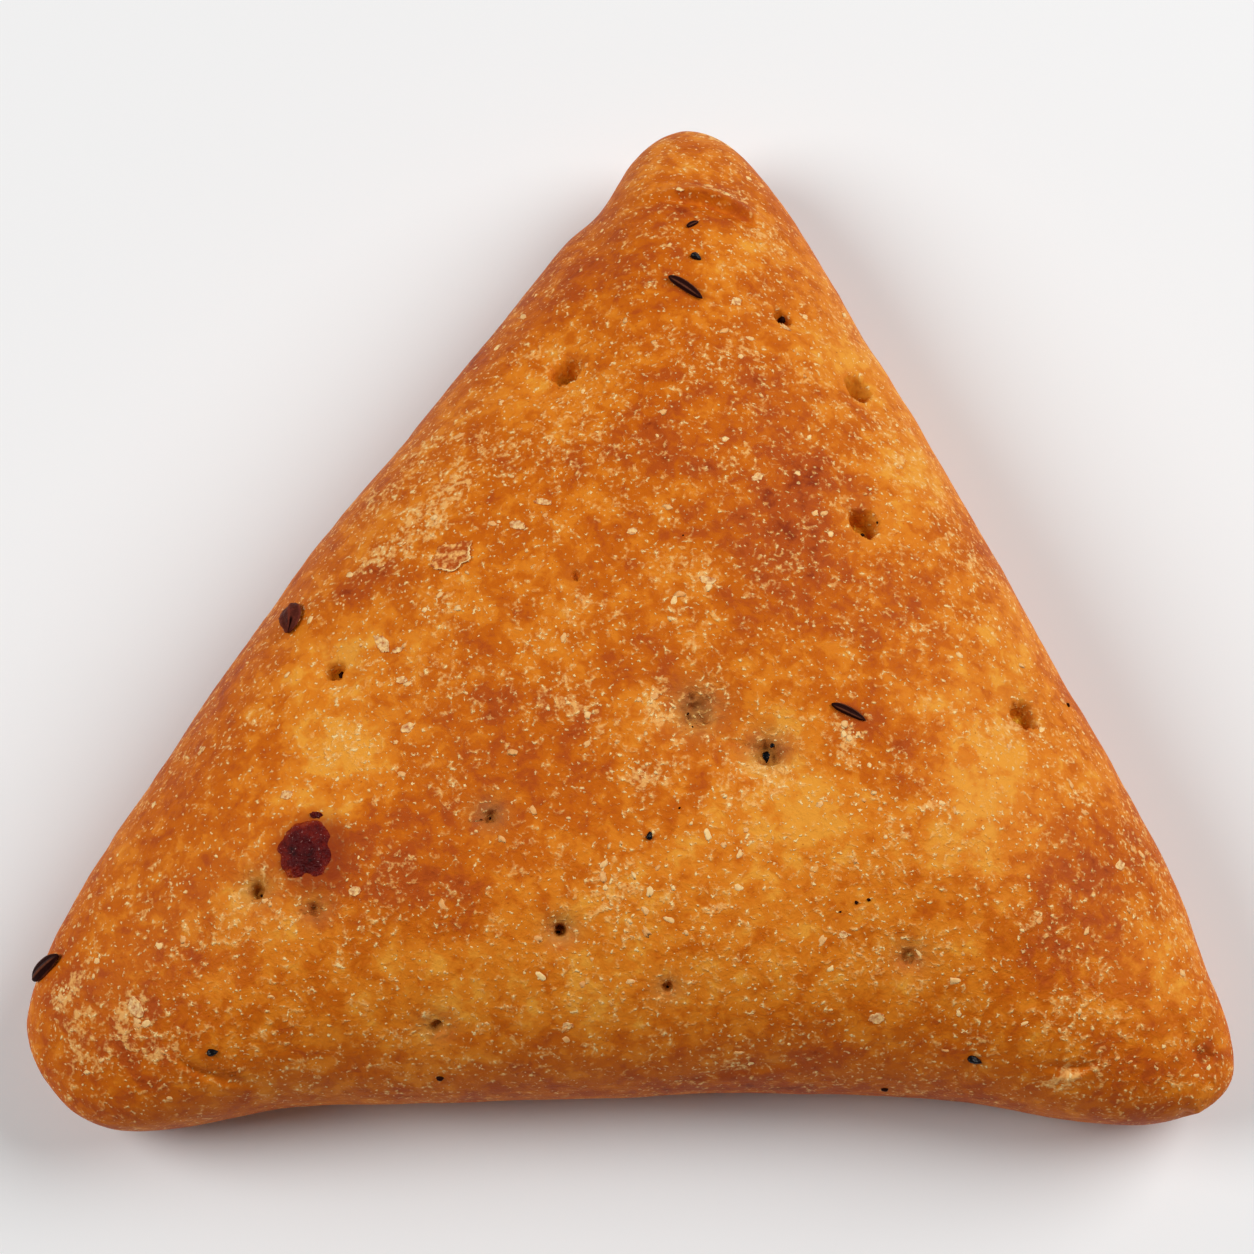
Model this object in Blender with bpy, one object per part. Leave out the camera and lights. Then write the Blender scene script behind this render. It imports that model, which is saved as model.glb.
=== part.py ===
"""A fatayer: a three-cornered baked pastry, folded shut under its base and pricked on top.

The crust is one solid. Two flat grids are rounded into discs: the upper one is wrapped over the
crown, round the rim and under to the foot, the lower one closes the base, and the two are sewn
together at the foot. Prick holes, folds, swellings and flakes are pressed into the skin or
raised on it, the seeds are fused to it, and a little of the filling stands in a pit of its own.

+X runs along the long front side, +Y points to the apex and +Z is up. The origin is the middle
of the base, on the surface that the pastry lies on.
"""

import bmesh
import bpy
import numpy as np
from mathutils import Matrix, Vector, noise

# Sizes and places are in millimetres and degrees. Each finished mesh is scaled to metres.
MILLIMETRE = 0.001

# ---- The plan: three long sides round a middle point, with rounded corners between them ----
MIDDLE = (0.9, -16.0)
SIDES = (  # direction that the side faces, its distance from the middle
    (27.0, 48.2),
    (146.7, 42.4),
    (-89.7, 44.2),
)
CORNER_POWER = 4.4  # higher is a sharper corner
OUTLINE_SWELLS = (  # direction, how far it stands out, spread in degrees
    (87.0, 3.5, 8.0),  # knob of dough at the apex
    (93.7, -2.6, 3.0),  # notch to the left of the knob
    (42.0, 0.5, 37.0),  # fullness of the right side
    (171.0, 3.0, 57.0),  # fullness of the left side
    (-141.3, 5.3, 6.2),  # lip of the left corner
    (-76.0, -0.5, 15.0),  # hollow along the front
    (-36.0, 7.9, 9.8),  # right corner
    (-24.0, -1.9, 5.5),  # hollow behind the right corner's nose
)
SWELL_FADE = 3.0  # the swells fade towards the crown by this power of the share

# ---- The side view: a crown that falls to a rim, and an underside that rolls in to the foot ----
CROWN_HEIGHT = 33.0
CROWN_FALL = 6.5  # how much lower the crown is at CROWN_REACH from the middle
CROWN_REACH = 80.0
RIM_HEIGHT = 11.0  # height of the widest line
SHOULDER_POWER = 3.4  # higher is a flatter top with a tighter shoulder
ROUND_REACH = 52.0  # the level lines turn from the outline towards a circle of this radius
OUTLINE_PULL = 0.65  # how much of the outline is left in them at the crown; all of it at the rim
FOOT_SHARE = 0.86  # the flat base's share of the outline
RIM_PLACE = 0.8  # how far out in the upper grid the rim lies

SWELLINGS = (  # x, y, height, spread: broad rises and hollows of the top
    (-30.0, -25.0, -1.0, 13.0),
    (-45.0, -31.0, 0.9, 14.0),
    (-6.0, -11.0, 0.7, 16.0),
    (12.0, -25.0, -1.0, 11.0),
    (36.0, -31.0, 1.1, 16.0),
    (8.0, 13.0, 0.8, 15.0),
    (24.0, 13.0, -0.8, 9.0),
    (-9.0, 24.0, -0.8, 8.0),
    (4.0, 45.0, 0.9, 10.0),
    (56.0, -47.0, -0.8, 9.0),
    (-18.0, -45.0, 0.8, 15.0),
)

# ---- Prick holes: x, y, radius, depth of the hole, depth of the dimple round it ----
DIMPLE_SPREAD = 2.2  # radius of the dimple in radii of its hole
PRICKS = (
    (-7.7, 24.2, 1.8, 2.1, 0.6),
    (18.6, 32.7, 1.1, 1.5, 0.5),
    (27.9, 24.3, 1.6, 2.3, 0.6),
    (27.8, 4.0, 1.7, 2.6, 0.6),
    (-34.4, -14.0, 1.4, 1.7, 0.6),
    (7.7, -20.5, 2.0, 0.6, 0.6),
    (15.7, -25.2, 1.4, 1.2, 0.8),
    (46.5, -18.5, 1.7, 1.5, 0.6),
    (-15.8, -32.9, 1.1, 0.8, 0.4),
    (-7.8, -45.9, 1.3, 1.7, 0.7),
    (-42.5, -40.6, 1.3, 1.5, 0.7),
    (4.3, -51.7, 1.0, 0.8, 0.3),
    (31.6, -48.3, 1.1, 0.6, 0.5),
    (-22.0, -55.6, 1.1, 0.6, 0.4),
    (-35.7, -43.1, 1.0, 0.7, 0.4),
    (66.1, -55.8, 1.1, 0.6, 0.4),
)

# ---- Folds: three places as (direction, fall), hollow's width, its depth, lip's width, its height.
# The hollow is on the side of the crown, and the lip stands proud on the other side ----
FOLDS = (
    (((88, 60.5), (82, 60.5), (75, 66)), 2.2, 0.9, 2.0, 1.1),  # wrinkle under the apex
    (((-43.5, 68), (-41.8, 70.8), (-38.5, 67.5)), 1.2, 0.6, 1.2, 0.5),  # fold at the right end of the front
    (((-142, 65), (-138, 71), (-133, 79)), 1.2, 0.65, 1.5, 0.0),  # tuck at the left end of the front
    (((-84, 84), (-75, 79), (-64, 75)), 1.4, 0.4, 1.4, 0.1),  # fold in the front side
    (((-30, 66), (-31.5, 72), (-33, 80)), 1.4, 0.5, 1.2, 0.1),  # neck of the right corner
    (((-37, 82), (-36, 90), (-36, 105)), 1.4, 0.7, 1.2, 0.2),  # groove under the right corner
)
FOLD_SIDE = 0.9  # the hollow turns into the lip over this distance

# ---- Flakes of dry dough lying on the skin: x, y, length, width, direction ----
FLAKE_THICKNESS = 0.35
FLAKE_EDGE = 0.2  # share of the flake over which its edge thins out
FLAKES = (
    (-20.7, -1.2, 4.9, 3.7, 10.0),
    (-28.6, -11.6, 2.8, 1.4, -55.0),
    (-10.1, 5.2, 2.2, 1.3, -15.0),
    (-13.0, 2.2, 2.0, 1.3, -20.0),
    (56.5, -36.0, 1.8, 1.3, 30.0),
    (28.0, -54.3, 1.8, 1.4, 20.0),
    (-56.6, -53.2, 3.4, 2.6, -55.0),
    (-39.1, -29.6, 1.8, 1.4, 0.0),
)

# ---- Seeds, fused to the skin: x, y, direction, length, width, height ----
SEED_SIDES = 6
SEED_RINGS = 4
SEED_LIFT = 0.25  # how high the seed's middle rides, as a share of its height
SEEDS = (
    (6.8, 34.8, -40.0, 5.3, 1.4, 1.0),  # caraway near the apex
    (25.0, -20.7, -27.0, 4.4, 1.2, 1.0),  # caraway right of the middle
    (-67.6, -46.3, 6.0, 5.5, 2.3, 1.6),  # caraway on the left corner
    (7.7, 44.9, 38.0, 2.0, 0.9, 0.7),  # broken bit of husk
    (-39.7, -6.2, -79.0, 4.6, 2.7, 1.8),  # husk on the left shoulder
    (8.1, 39.6, -35.0, 1.6, 1.0, 0.9),  # nigella near the apex
    (-47.3, -57.6, 15.0, 1.5, 1.0, 0.8),  # nigella at the left front
    (39.3, -58.1, -35.0, 1.8, 1.0, 0.9),  # nigella at the right front
    (2.2, -35.4, 80.0, 1.2, 0.8, 0.7),  # nigella in the middle
)

# ---- The filling that broke through, in a pit with a small gap all round ----
LEAK_PLACE = (-36.4, -36.5)
LEAK_SIZE = (7.4, 7.2, 3.2)
LEAK_SINK = 0.9  # how deep its middle lies below the skin
LEAK_LUMP = 0.28
LEAK_LUMP_SPACING = 2.2
LEAK_SUBDIVISIONS = 3
PIT_GAP = 0.3

# ---- The base: three seams where the dough was folded in, from the middle out to the corners ----
SEAM_DEPTH = 1.1
SEAM_WIDTH = 1.4
SEAM_BEND = 3.0
SEAM_EDGE = 0.02  # share of the depth below which the base is left flat
SEAM_MEETING = (3.5, -18.0)
SEAM_ENDS = ((9.5, 43.0), (-50.0, -44.0), (50.0, -46.5))

# ---- How fine the mesh is ----
GRID_CUTS = 190
CRUST_TRIANGLES = 9000
PATH_POINTS = 120
SEWING_DISTANCE = 0.001
BASE_FLATNESS = 0.02  # points of the base this close to the surface lie on it

CRUST_COLOUR = (0.55, 0.17, 0.03)
CRUST_ROUGHNESS = 0.5
FILLING_COLOUR = (0.13, 0.02, 0.015)
FILLING_ROUGHNESS = 0.2


def outline_reach(direction, share=1.0):
    """How far the rim is from the middle, looking along a direction in radians."""
    pull = 0.0
    for facing, distance in SIDES:
        towards = np.maximum(np.cos(direction - np.radians(facing)), 0.0)
        pull = pull + (towards / distance) ** CORNER_POWER
    reach = pull ** (-1.0 / CORNER_POWER)
    for facing, height, spread in OUTLINE_SWELLS:
        offset = (np.degrees(direction) - facing + 180.0) % 360.0 - 180.0
        reach = reach + height * share**SWELL_FADE * np.exp(-((offset / spread) ** 2))
    return reach


def level_reach(direction, share):
    """How far a level line is from the middle. The share is 0 at the crown and 1 at the rim."""
    pull = OUTLINE_PULL + (1.0 - OUTLINE_PULL) * share**2
    return share * outline_reach(direction, share) ** pull * ROUND_REACH ** (1.0 - pull)


def crown(x, y):
    """Height that the top would have without its shoulder."""
    out = np.hypot(x - MIDDLE[0], y - MIDDLE[1]) / CROWN_REACH
    height = CROWN_HEIGHT - CROWN_FALL * out**2
    for swell_x, swell_y, rise, spread in SWELLINGS:
        height = height + rise * np.exp(-((x - swell_x) ** 2 + (y - swell_y) ** 2) / spread**2)
    return height


def skin(direction, fall):
    """Points of the smooth crust. The fall is 0 at the crown, 90 at the rim and 180 at the foot."""
    share = np.sin(np.radians(np.minimum(fall, 90.0)))
    under = np.radians(np.maximum(fall, 90.0) - 90.0)
    reach = level_reach(direction, share) * (1.0 - (1.0 - FOOT_SHARE) * (1.0 - np.cos(under)))
    x = MIDDLE[0] + reach * np.cos(direction)
    y = MIDDLE[1] + reach * np.sin(direction)
    above_rim = (crown(x, y) - RIM_HEIGHT) * np.sqrt(1.0 - share**SHOULDER_POWER)
    return np.stack((x, y, RIM_HEIGHT * (1.0 - np.sin(under)) + above_rim), axis=-1)


def skin_point(x, y):
    """The point of the top above a place in the plan."""
    direction = np.arctan2(y - MIDDLE[1], x - MIDDLE[0])
    reach = np.hypot(x - MIDDLE[0], y - MIDDLE[1])
    low, high = 0.0, 1.0
    while high - low > 1e-6:
        share = (low + high) / 2.0
        if level_reach(direction, share) < reach:
            low = share
        else:
            high = share
    return skin(direction, np.degrees(np.arcsin(share)))


def skin_frame(x, y, direction):
    """A matrix on the skin: its X runs along a direction, its Z points out of the crust."""
    step = 0.2
    along_x = Vector(skin_point(x + step, y)) - Vector(skin_point(x - step, y))
    along_y = Vector(skin_point(x, y + step)) - Vector(skin_point(x, y - step))
    out = along_x.cross(along_y).normalized()
    turn = np.radians(direction)
    side = out.cross(Vector((np.cos(turn), np.sin(turn), 0.0))).normalized()
    axes = Matrix((side.cross(out), side, out)).transposed()
    return Matrix.Translation(skin_point(x, y)) @ axes.to_4x4()


def distance_to(points, path):
    """Distance from each point to the nearest place of a path, how far along it is, and the place."""
    nearest = np.full(len(points), np.inf)
    number = np.zeros(len(points), dtype=int)
    for index, place in enumerate(path):
        apart = np.linalg.norm(points - place, axis=1)
        number = np.where(apart < nearest, index, number)
        nearest = np.minimum(apart, nearest)
    return nearest, number / (len(path) - 1.0), path[number]


def smooth(value):
    """Smooth step of a share."""
    share = np.clip(value, 0.0, 1.0)
    return share * share * (3.0 - 2.0 * share)


def prick_depth(points):
    depth = np.zeros(len(points))
    for x, y, radius, hole, dimple in PRICKS:
        apart = np.linalg.norm(points - skin_point(x, y), axis=1) / radius
        depth += hole * np.exp(-(apart**4)) + dimple * np.exp(-((apart / DIMPLE_SPREAD) ** 2))
    return depth


def fold_depth(points):
    depth = np.zeros(len(points))
    way = np.linspace(0.0, 1.0, PATH_POINTS)[:, None]
    for places, hollow_width, deep, lip_width, high in FOLDS:
        start, middle, end = (np.array(place) for place in places)
        handle = 2.0 * middle - (start + end) / 2.0
        bend = (1.0 - way) ** 2 * start + 2.0 * way * (1.0 - way) * handle + way**2 * end
        apart, along, nearest = distance_to(points, skin(np.radians(bend[:, 0]), bend[:, 1]))
        run = nearest[:, :2] - MIDDLE
        outside = ((points - nearest)[:, :2] * run).sum(axis=1) / np.linalg.norm(run, axis=1)
        side = smooth(0.5 + outside / FOLD_SIDE)
        hollow = deep * np.exp(-((apart / hollow_width) ** 2)) * (1.0 - side)
        lip = high * np.exp(-((apart / lip_width) ** 2)) * side
        depth += (hollow - lip) * np.sin(np.pi * np.clip(along, 0.06, 0.94))
    return depth


def flake_height(points):
    height = np.zeros(len(points))
    for x, y, length, width, direction in FLAKES:
        place = skin_frame(x, y, direction).inverted()
        turned = points @ np.array(place.to_3x3()).T + np.array(place.translation)
        edge = np.hypot(turned[:, 0] / (length / 2.0), turned[:, 1] / (width / 2.0))
        near = np.abs(turned[:, 2]) < width
        height += FLAKE_THICKNESS * np.clip((1.0 - edge) / FLAKE_EDGE, 0.0, 1.0) * near
    return height


def seam_rise(places):
    """How far the folded seams lift the base's skin off the surface."""
    rise = np.zeros(len(places))
    way = np.linspace(0.0, 1.0, PATH_POINTS)[:, None]
    meeting = np.array(SEAM_MEETING)
    for end in SEAM_ENDS:
        run = np.array(end) - meeting
        across = np.array((-run[1], run[0])) / np.linalg.norm(run)
        path = meeting + way * run + SEAM_BEND * np.sin(np.pi * way) * across
        apart, along, _ = distance_to(places, path)
        rise = np.maximum(rise, SEAM_DEPTH * np.exp(-((apart / SEAM_WIDTH) ** 2)) * (1.0 - along**4))
    return np.where(rise > SEAM_EDGE * SEAM_DEPTH, rise, 0.0)


def add_disc(form):
    """Adds a grid and gives its points, their share of the way out and their direction."""
    verts = bmesh.ops.create_grid(form, x_segments=GRID_CUTS, y_segments=GRID_CUTS, size=1.0)["verts"]
    a, b = np.array([vert.co[:2] for vert in verts], dtype=float).T
    flat = np.abs(a) >= np.abs(b)
    main = np.where(flat, a, b)
    slope = np.where(flat, b, a) / np.where(main == 0.0, 1.0, main)
    direction = np.where(flat, slope, 2.0 - slope) * np.pi / 4.0 + np.where(main < 0.0, np.pi, 0.0)
    return verts, np.abs(main), direction


def place_points(verts, points):
    for vert, point in zip(verts, points):
        vert.co = point


def new_object(name, form, collection):
    """Turns a bmesh in millimetres into an object in metres."""
    bmesh.ops.scale(form, vec=Vector((MILLIMETRE,) * 3), verts=form.verts)
    mesh = bpy.data.meshes.new(name)
    form.to_mesh(mesh)
    form.free()
    made = bpy.data.objects.new(name, mesh)
    collection.objects.link(made)
    return made


def apply_modifiers(thing):
    """Replaces an object's mesh by what its modifiers make of it."""
    graph = bpy.context.evaluated_depsgraph_get()
    made = bpy.data.meshes.new_from_object(thing.evaluated_get(graph))
    thing.modifiers.clear()
    thing.data = made


def crust_solid(collection):
    """The smooth crust with its holes, folds, flakes and seams, thinned to fewer faces."""
    form = bmesh.new()
    upper, out, direction = add_disc(form)
    fall = np.interp(out, (0.0, RIM_PLACE, 1.0), (0.0, 90.0, 180.0))
    points = skin(direction, fall)
    place_points(upper, points)
    form.normal_update()
    normals = np.array([vert.normal for vert in upper], dtype=float)
    rise = flake_height(points) - prick_depth(points) - fold_depth(points)
    rise = rise * np.interp(fall, (90.0, 150.0), (1.0, 0.0))
    place_points(upper, points + normals * rise[:, None])

    lower, out, direction = add_disc(form)
    reach = FOOT_SHARE * out * outline_reach(direction)
    places = np.stack((reach * np.cos(direction), reach * np.sin(direction)), axis=-1) + MIDDLE
    place_points(lower, np.column_stack((places, seam_rise(places) * (out < 1.0))))
    under_faces = {face for vert in lower for face in vert.link_faces}
    bmesh.ops.reverse_faces(form, faces=list(under_faces))
    bmesh.ops.remove_doubles(form, verts=form.verts, dist=SEWING_DISTANCE)

    crust = new_object("crust", form, collection)
    thin = crust.modifiers.new("fewer_faces", "DECIMATE")
    thin.ratio = CRUST_TRIANGLES / (4.0 * GRID_CUTS**2)
    apply_modifiers(crust)
    for vert in crust.data.vertices:
        if vert.co.z < BASE_FLATNESS * MILLIMETRE:
            vert.co.z = 0.0
    return crust


def filling_ball(name, grow, place, collection):
    """The lumpy ball of filling, made larger on every side by a given amount."""
    form = bmesh.new()
    bmesh.ops.create_icosphere(form, subdivisions=LEAK_SUBDIVISIONS, radius=0.5)
    bmesh.ops.scale(form, vec=Vector(LEAK_SIZE), verts=form.verts)
    form.normal_update()
    for vert in form.verts:
        lump = LEAK_LUMP * noise.noise(vert.co / LEAK_LUMP_SPACING)
        vert.co += vert.normal * (grow + lump)
    bmesh.ops.transform(form, matrix=place, verts=form.verts)
    return new_object(name, form, collection)


def seed(name, size, place, collection):
    """A spindle of a given length, width and height."""
    form = bmesh.new()
    lying = Matrix.Rotation(np.pi / 2.0, 4, "Y")
    bmesh.ops.create_uvsphere(form, u_segments=SEED_SIDES, v_segments=SEED_RINGS, radius=0.5, matrix=lying)
    bmesh.ops.scale(form, vec=Vector(size), verts=form.verts)
    bmesh.ops.transform(form, matrix=place, verts=form.verts)
    return new_object(name, form, collection)


def make_material(name, colour, roughness):
    made = bpy.data.materials.new(name)
    made.use_nodes = True
    shader = made.node_tree.nodes["Principled BSDF"]
    shader.inputs["Base Color"].default_value = (*colour, 1.0)
    shader.inputs["Roughness"].default_value = roughness
    shader.inputs["Metallic"].default_value = 0.0
    return made


def new_collection(name):
    made = bpy.data.collections.new(name)
    bpy.context.scene.collection.children.link(made)
    return made


def cut_pit(crust, leak_frame, cutters):
    """Cuts the pit that the filling stands in."""
    pit = filling_ball("pit", PIT_GAP, leak_frame, cutters)
    pit.hide_render = True
    pit.display_type = "WIRE"
    cut = crust.modifiers.new("pit", "BOOLEAN")
    cut.operation = "DIFFERENCE"
    cut.object = pit
    apply_modifiers(crust)


def fuse_seeds(crust):
    """Joins every seed to the crust in one union."""
    seeds = new_collection("seeds")
    for number, (x, y, direction, length, width, height) in enumerate(SEEDS):
        place = skin_frame(x, y, direction) @ Matrix.Translation((0.0, 0.0, SEED_LIFT * height))
        seed(f"seed_{number}", (length, width, height), place, seeds)
    join = crust.modifiers.new("seeds", "BOOLEAN")
    join.operation = "UNION"
    join.operand_type = "COLLECTION"
    join.collection = seeds
    join.solver = "EXACT"
    apply_modifiers(crust)
    for thing in list(seeds.objects):
        bpy.data.objects.remove(thing, do_unlink=True)
    bpy.data.collections.remove(seeds)


def finish(thing, material):
    thing.data.materials.clear()
    thing.data.materials.append(material)
    thing.data.shade_smooth()


def main():
    for thing in list(bpy.data.objects):
        bpy.data.objects.remove(thing, do_unlink=True)
    model = new_collection("fatayer")
    cutters = new_collection("cutters")

    crust = crust_solid(model)
    leak_frame = skin_frame(*LEAK_PLACE, 0.0) @ Matrix.Translation((0.0, 0.0, -LEAK_SINK))
    cut_pit(crust, leak_frame, cutters)
    fuse_seeds(crust)
    finish(crust, make_material("baked_crust", CRUST_COLOUR, CRUST_ROUGHNESS))

    leak = filling_ball("filling_leak", 0.0, leak_frame, model)
    finish(leak, make_material("berry_filling", FILLING_COLOUR, FILLING_ROUGHNESS))


main()
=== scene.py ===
"""A fatayer: a three-cornered baked pastry, pricked on top, with seeds and a little leaked filling.

The file is laid out as an add-on. Each piece has its own operator, and so has the stage. Places
and sizes of what lies on the pastry are in millimetres and degrees in the tables below, and the
sizes and colours that a user would change are the property groups. Each piece is modelled in
millimetres and scaled to metres at the end.

+X runs along the long front side, +Y points to the apex and +Z is up.
"""

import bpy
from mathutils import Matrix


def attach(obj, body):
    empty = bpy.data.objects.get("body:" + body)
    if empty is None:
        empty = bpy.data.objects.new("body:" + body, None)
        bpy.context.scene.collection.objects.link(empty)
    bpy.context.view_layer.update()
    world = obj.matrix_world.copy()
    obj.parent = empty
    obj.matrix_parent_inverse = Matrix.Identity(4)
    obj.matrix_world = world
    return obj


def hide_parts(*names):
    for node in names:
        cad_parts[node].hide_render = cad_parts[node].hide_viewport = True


bl_info = {
    "name": "Fatayer",
    "version": (1, 0, 0),
    "blender": (4, 5, 0),
    "location": "View3D > Sidebar > Fatayer",
    "description": "Bakes a three-cornered pastry with its seeds, flakes and leaked filling",
    "category": "Add Mesh",
}

import bmesh
import bpy
import numpy as np
from bpy.props import FloatProperty, FloatVectorProperty, IntProperty, PointerProperty
from mathutils import Matrix, Vector, noise
from mathutils.bvhtree import BVHTree

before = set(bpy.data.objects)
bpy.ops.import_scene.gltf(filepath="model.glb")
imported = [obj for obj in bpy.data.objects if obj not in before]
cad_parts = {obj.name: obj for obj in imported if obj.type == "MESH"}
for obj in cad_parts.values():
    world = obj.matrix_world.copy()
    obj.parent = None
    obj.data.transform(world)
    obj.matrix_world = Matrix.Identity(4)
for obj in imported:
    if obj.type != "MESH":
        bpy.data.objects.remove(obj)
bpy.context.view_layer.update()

MILLIMETRE = 0.001
RIM_FALL, FOOT_FALL = 90.0, 180.0  # in degrees; at the crown it is 0

# ---- The plan: three long sides round a middle point, with rounded corners between them ----
MIDDLE = (0.9, -16.0)
SIDES = (  # direction that the side faces, its distance from the middle
    (27.0, 48.2),
    (146.7, 42.4),
    (-89.7, 44.2),
)
CORNER_POWER = 4.4  # higher is a sharper corner
OUTLINE_SWELLS = (  # direction, how far it stands out, spread in degrees
    (87.0, 3.5, 8.0),  # knob of dough at the apex
    (93.7, -2.6, 3.0),  # notch to the left of the knob
    (42.0, 0.5, 37.0),  # fullness of the right side
    (171.0, 3.0, 57.0),  # fullness of the left side
    (-141.3, 5.3, 6.2),  # lip of the left corner
    (-76.0, -0.5, 15.0),  # hollow along the front
    (-36.0, 7.9, 9.8),  # right corner
    (-24.0, -1.9, 5.5),  # hollow behind the right corner's nose
)
SWELL_FADE = 3.0  # the swells fade towards the crown by this power of the share
CROWN_REACH = 80.0  # how far from the middle the crown's fall is measured
OUTLINE_PULL = 0.65  # how much of the outline is left in the level lines at the crown
ROUND_REACH = 52.0  # radius of the circle that the level lines turn towards

SWELLINGS = (  # x, y, height, spread: broad rises and hollows of the top
    (-30.0, -25.0, -1.0, 13.0),
    (-45.0, -31.0, 0.9, 14.0),
    (-6.0, -11.0, 0.7, 16.0),
    (12.0, -25.0, -1.0, 11.0),
    (36.0, -31.0, 1.1, 16.0),
    (8.0, 13.0, 0.8, 15.0),
    (24.0, 13.0, -0.8, 9.0),
    (-9.0, 24.0, -0.8, 8.0),
    (4.0, 45.0, 0.9, 10.0),
    (56.0, -47.0, -0.8, 9.0),
    (-18.0, -45.0, 0.8, 15.0),
)

# ---- Prick holes: x, y, radius, depth of the hole, depth of the dimple, how grey it is ----
DIMPLE_SPREAD = 2.2  # radius of the dimple in radii of its hole
PRICKS = (
    (-7.9, 24.2, 2.0, 2.7, 0.7, 0.0),
    (18.7, 32.6, 1.2, 1.4, 0.6, 0.0),
    (27.9, 24.3, 1.9, 2.5, 0.6, 0.0),
    (27.8, 4.2, 2.05, 2.4, 0.8, 0.1),
    (-34.4, -14.0, 1.45, 1.7, 0.9, 0.1),
    (7.7, -20.5, 2.0, 0.5, 0.6, 1.0),
    (15.7, -25.2, 1.5, 0.9, 1.1, 1.0),
    (46.2, -18.4, 2.0, 2.0, 0.7, 0.2),
    (-15.8, -32.9, 0.8, 0.8, 0.4, 0.8),
    (-7.8, -45.9, 0.75, 1.3, 0.9, 0.9),
    (-42.5, -40.6, 0.95, 1.3, 0.8, 0.8),
    (4.3, -51.7, 0.7, 0.8, 0.3, 0.6),
    (31.6, -48.3, 1.0, 0.6, 0.5, 0.6),
    (-22.0, -55.6, 1.0, 0.6, 0.4, 0.6),
    (-35.7, -43.1, 0.8, 0.7, 0.4, 0.6),
    (-6.3, -4.5, 0.5, 0.6, 0.2, 0.1),
    (66.7, -57.0, 1.3, 0.35, 0.6, 0.0),
)
HOLE_EDGE = 1.12  # where the wall of a hole begins, in radii of the hole
FRONT_WALL, BACK_WALL = 0.84, 0.10  # where it ends: the wall is steep in front and gentle behind
RAGGED_WALL = ((1.3, 0.25), (0.5, 0.10))  # spacing and strength of the unevenness of a hole's width
PRICK_LIP = (0.12, 1.2, 0.25)  # height of the lip, its distance in radii and its spread
HOLE_SHADE_DEPTH = 1.8  # a hole of this depth or more is at its darkest: its painted shade is full
HALO = 1.2  # how far the grey dough reaches from a hole of no width
PUCKER = (1.0, 1.5)  # spacing and height of the wrinkles in the grey dough round a hole

# ---- Folds: three places as (direction, fall), hollow's width, its depth, lip's width, its height.
# The hollow is on the side of the crown, and the lip stands proud on the other side ----
FOLDS = (
    (((88, 60.5), (82, 60.5), (75, 66)), 2.2, 0.9, 2.0, 1.1),  # wrinkle under the apex
    (((-43.5, 68), (-41.8, 70.8), (-38.5, 67.5)), 1.0, 0.7, 1.0, 0.45),  # fold at the right end of the front
    (((-142, 65), (-138, 71), (-133, 79)), 1.2, 0.65, 1.5, 0.0),  # tuck at the left end of the front
    (((-84, 84), (-75, 79), (-64, 75)), 1.4, 0.4, 1.4, 0.1),  # fold in the front side
    (((-30, 66), (-31.5, 72), (-33, 80)), 1.4, 0.5, 1.2, 0.1),  # neck of the right corner
    (((-37, 82), (-36, 90), (-36, 105)), 1.4, 0.7, 1.2, 0.2),  # groove under the right corner
)
FOLD_TURN = 0.9  # over what width a fold turns from its hollow to its lip
PATH_POINTS = 60
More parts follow.
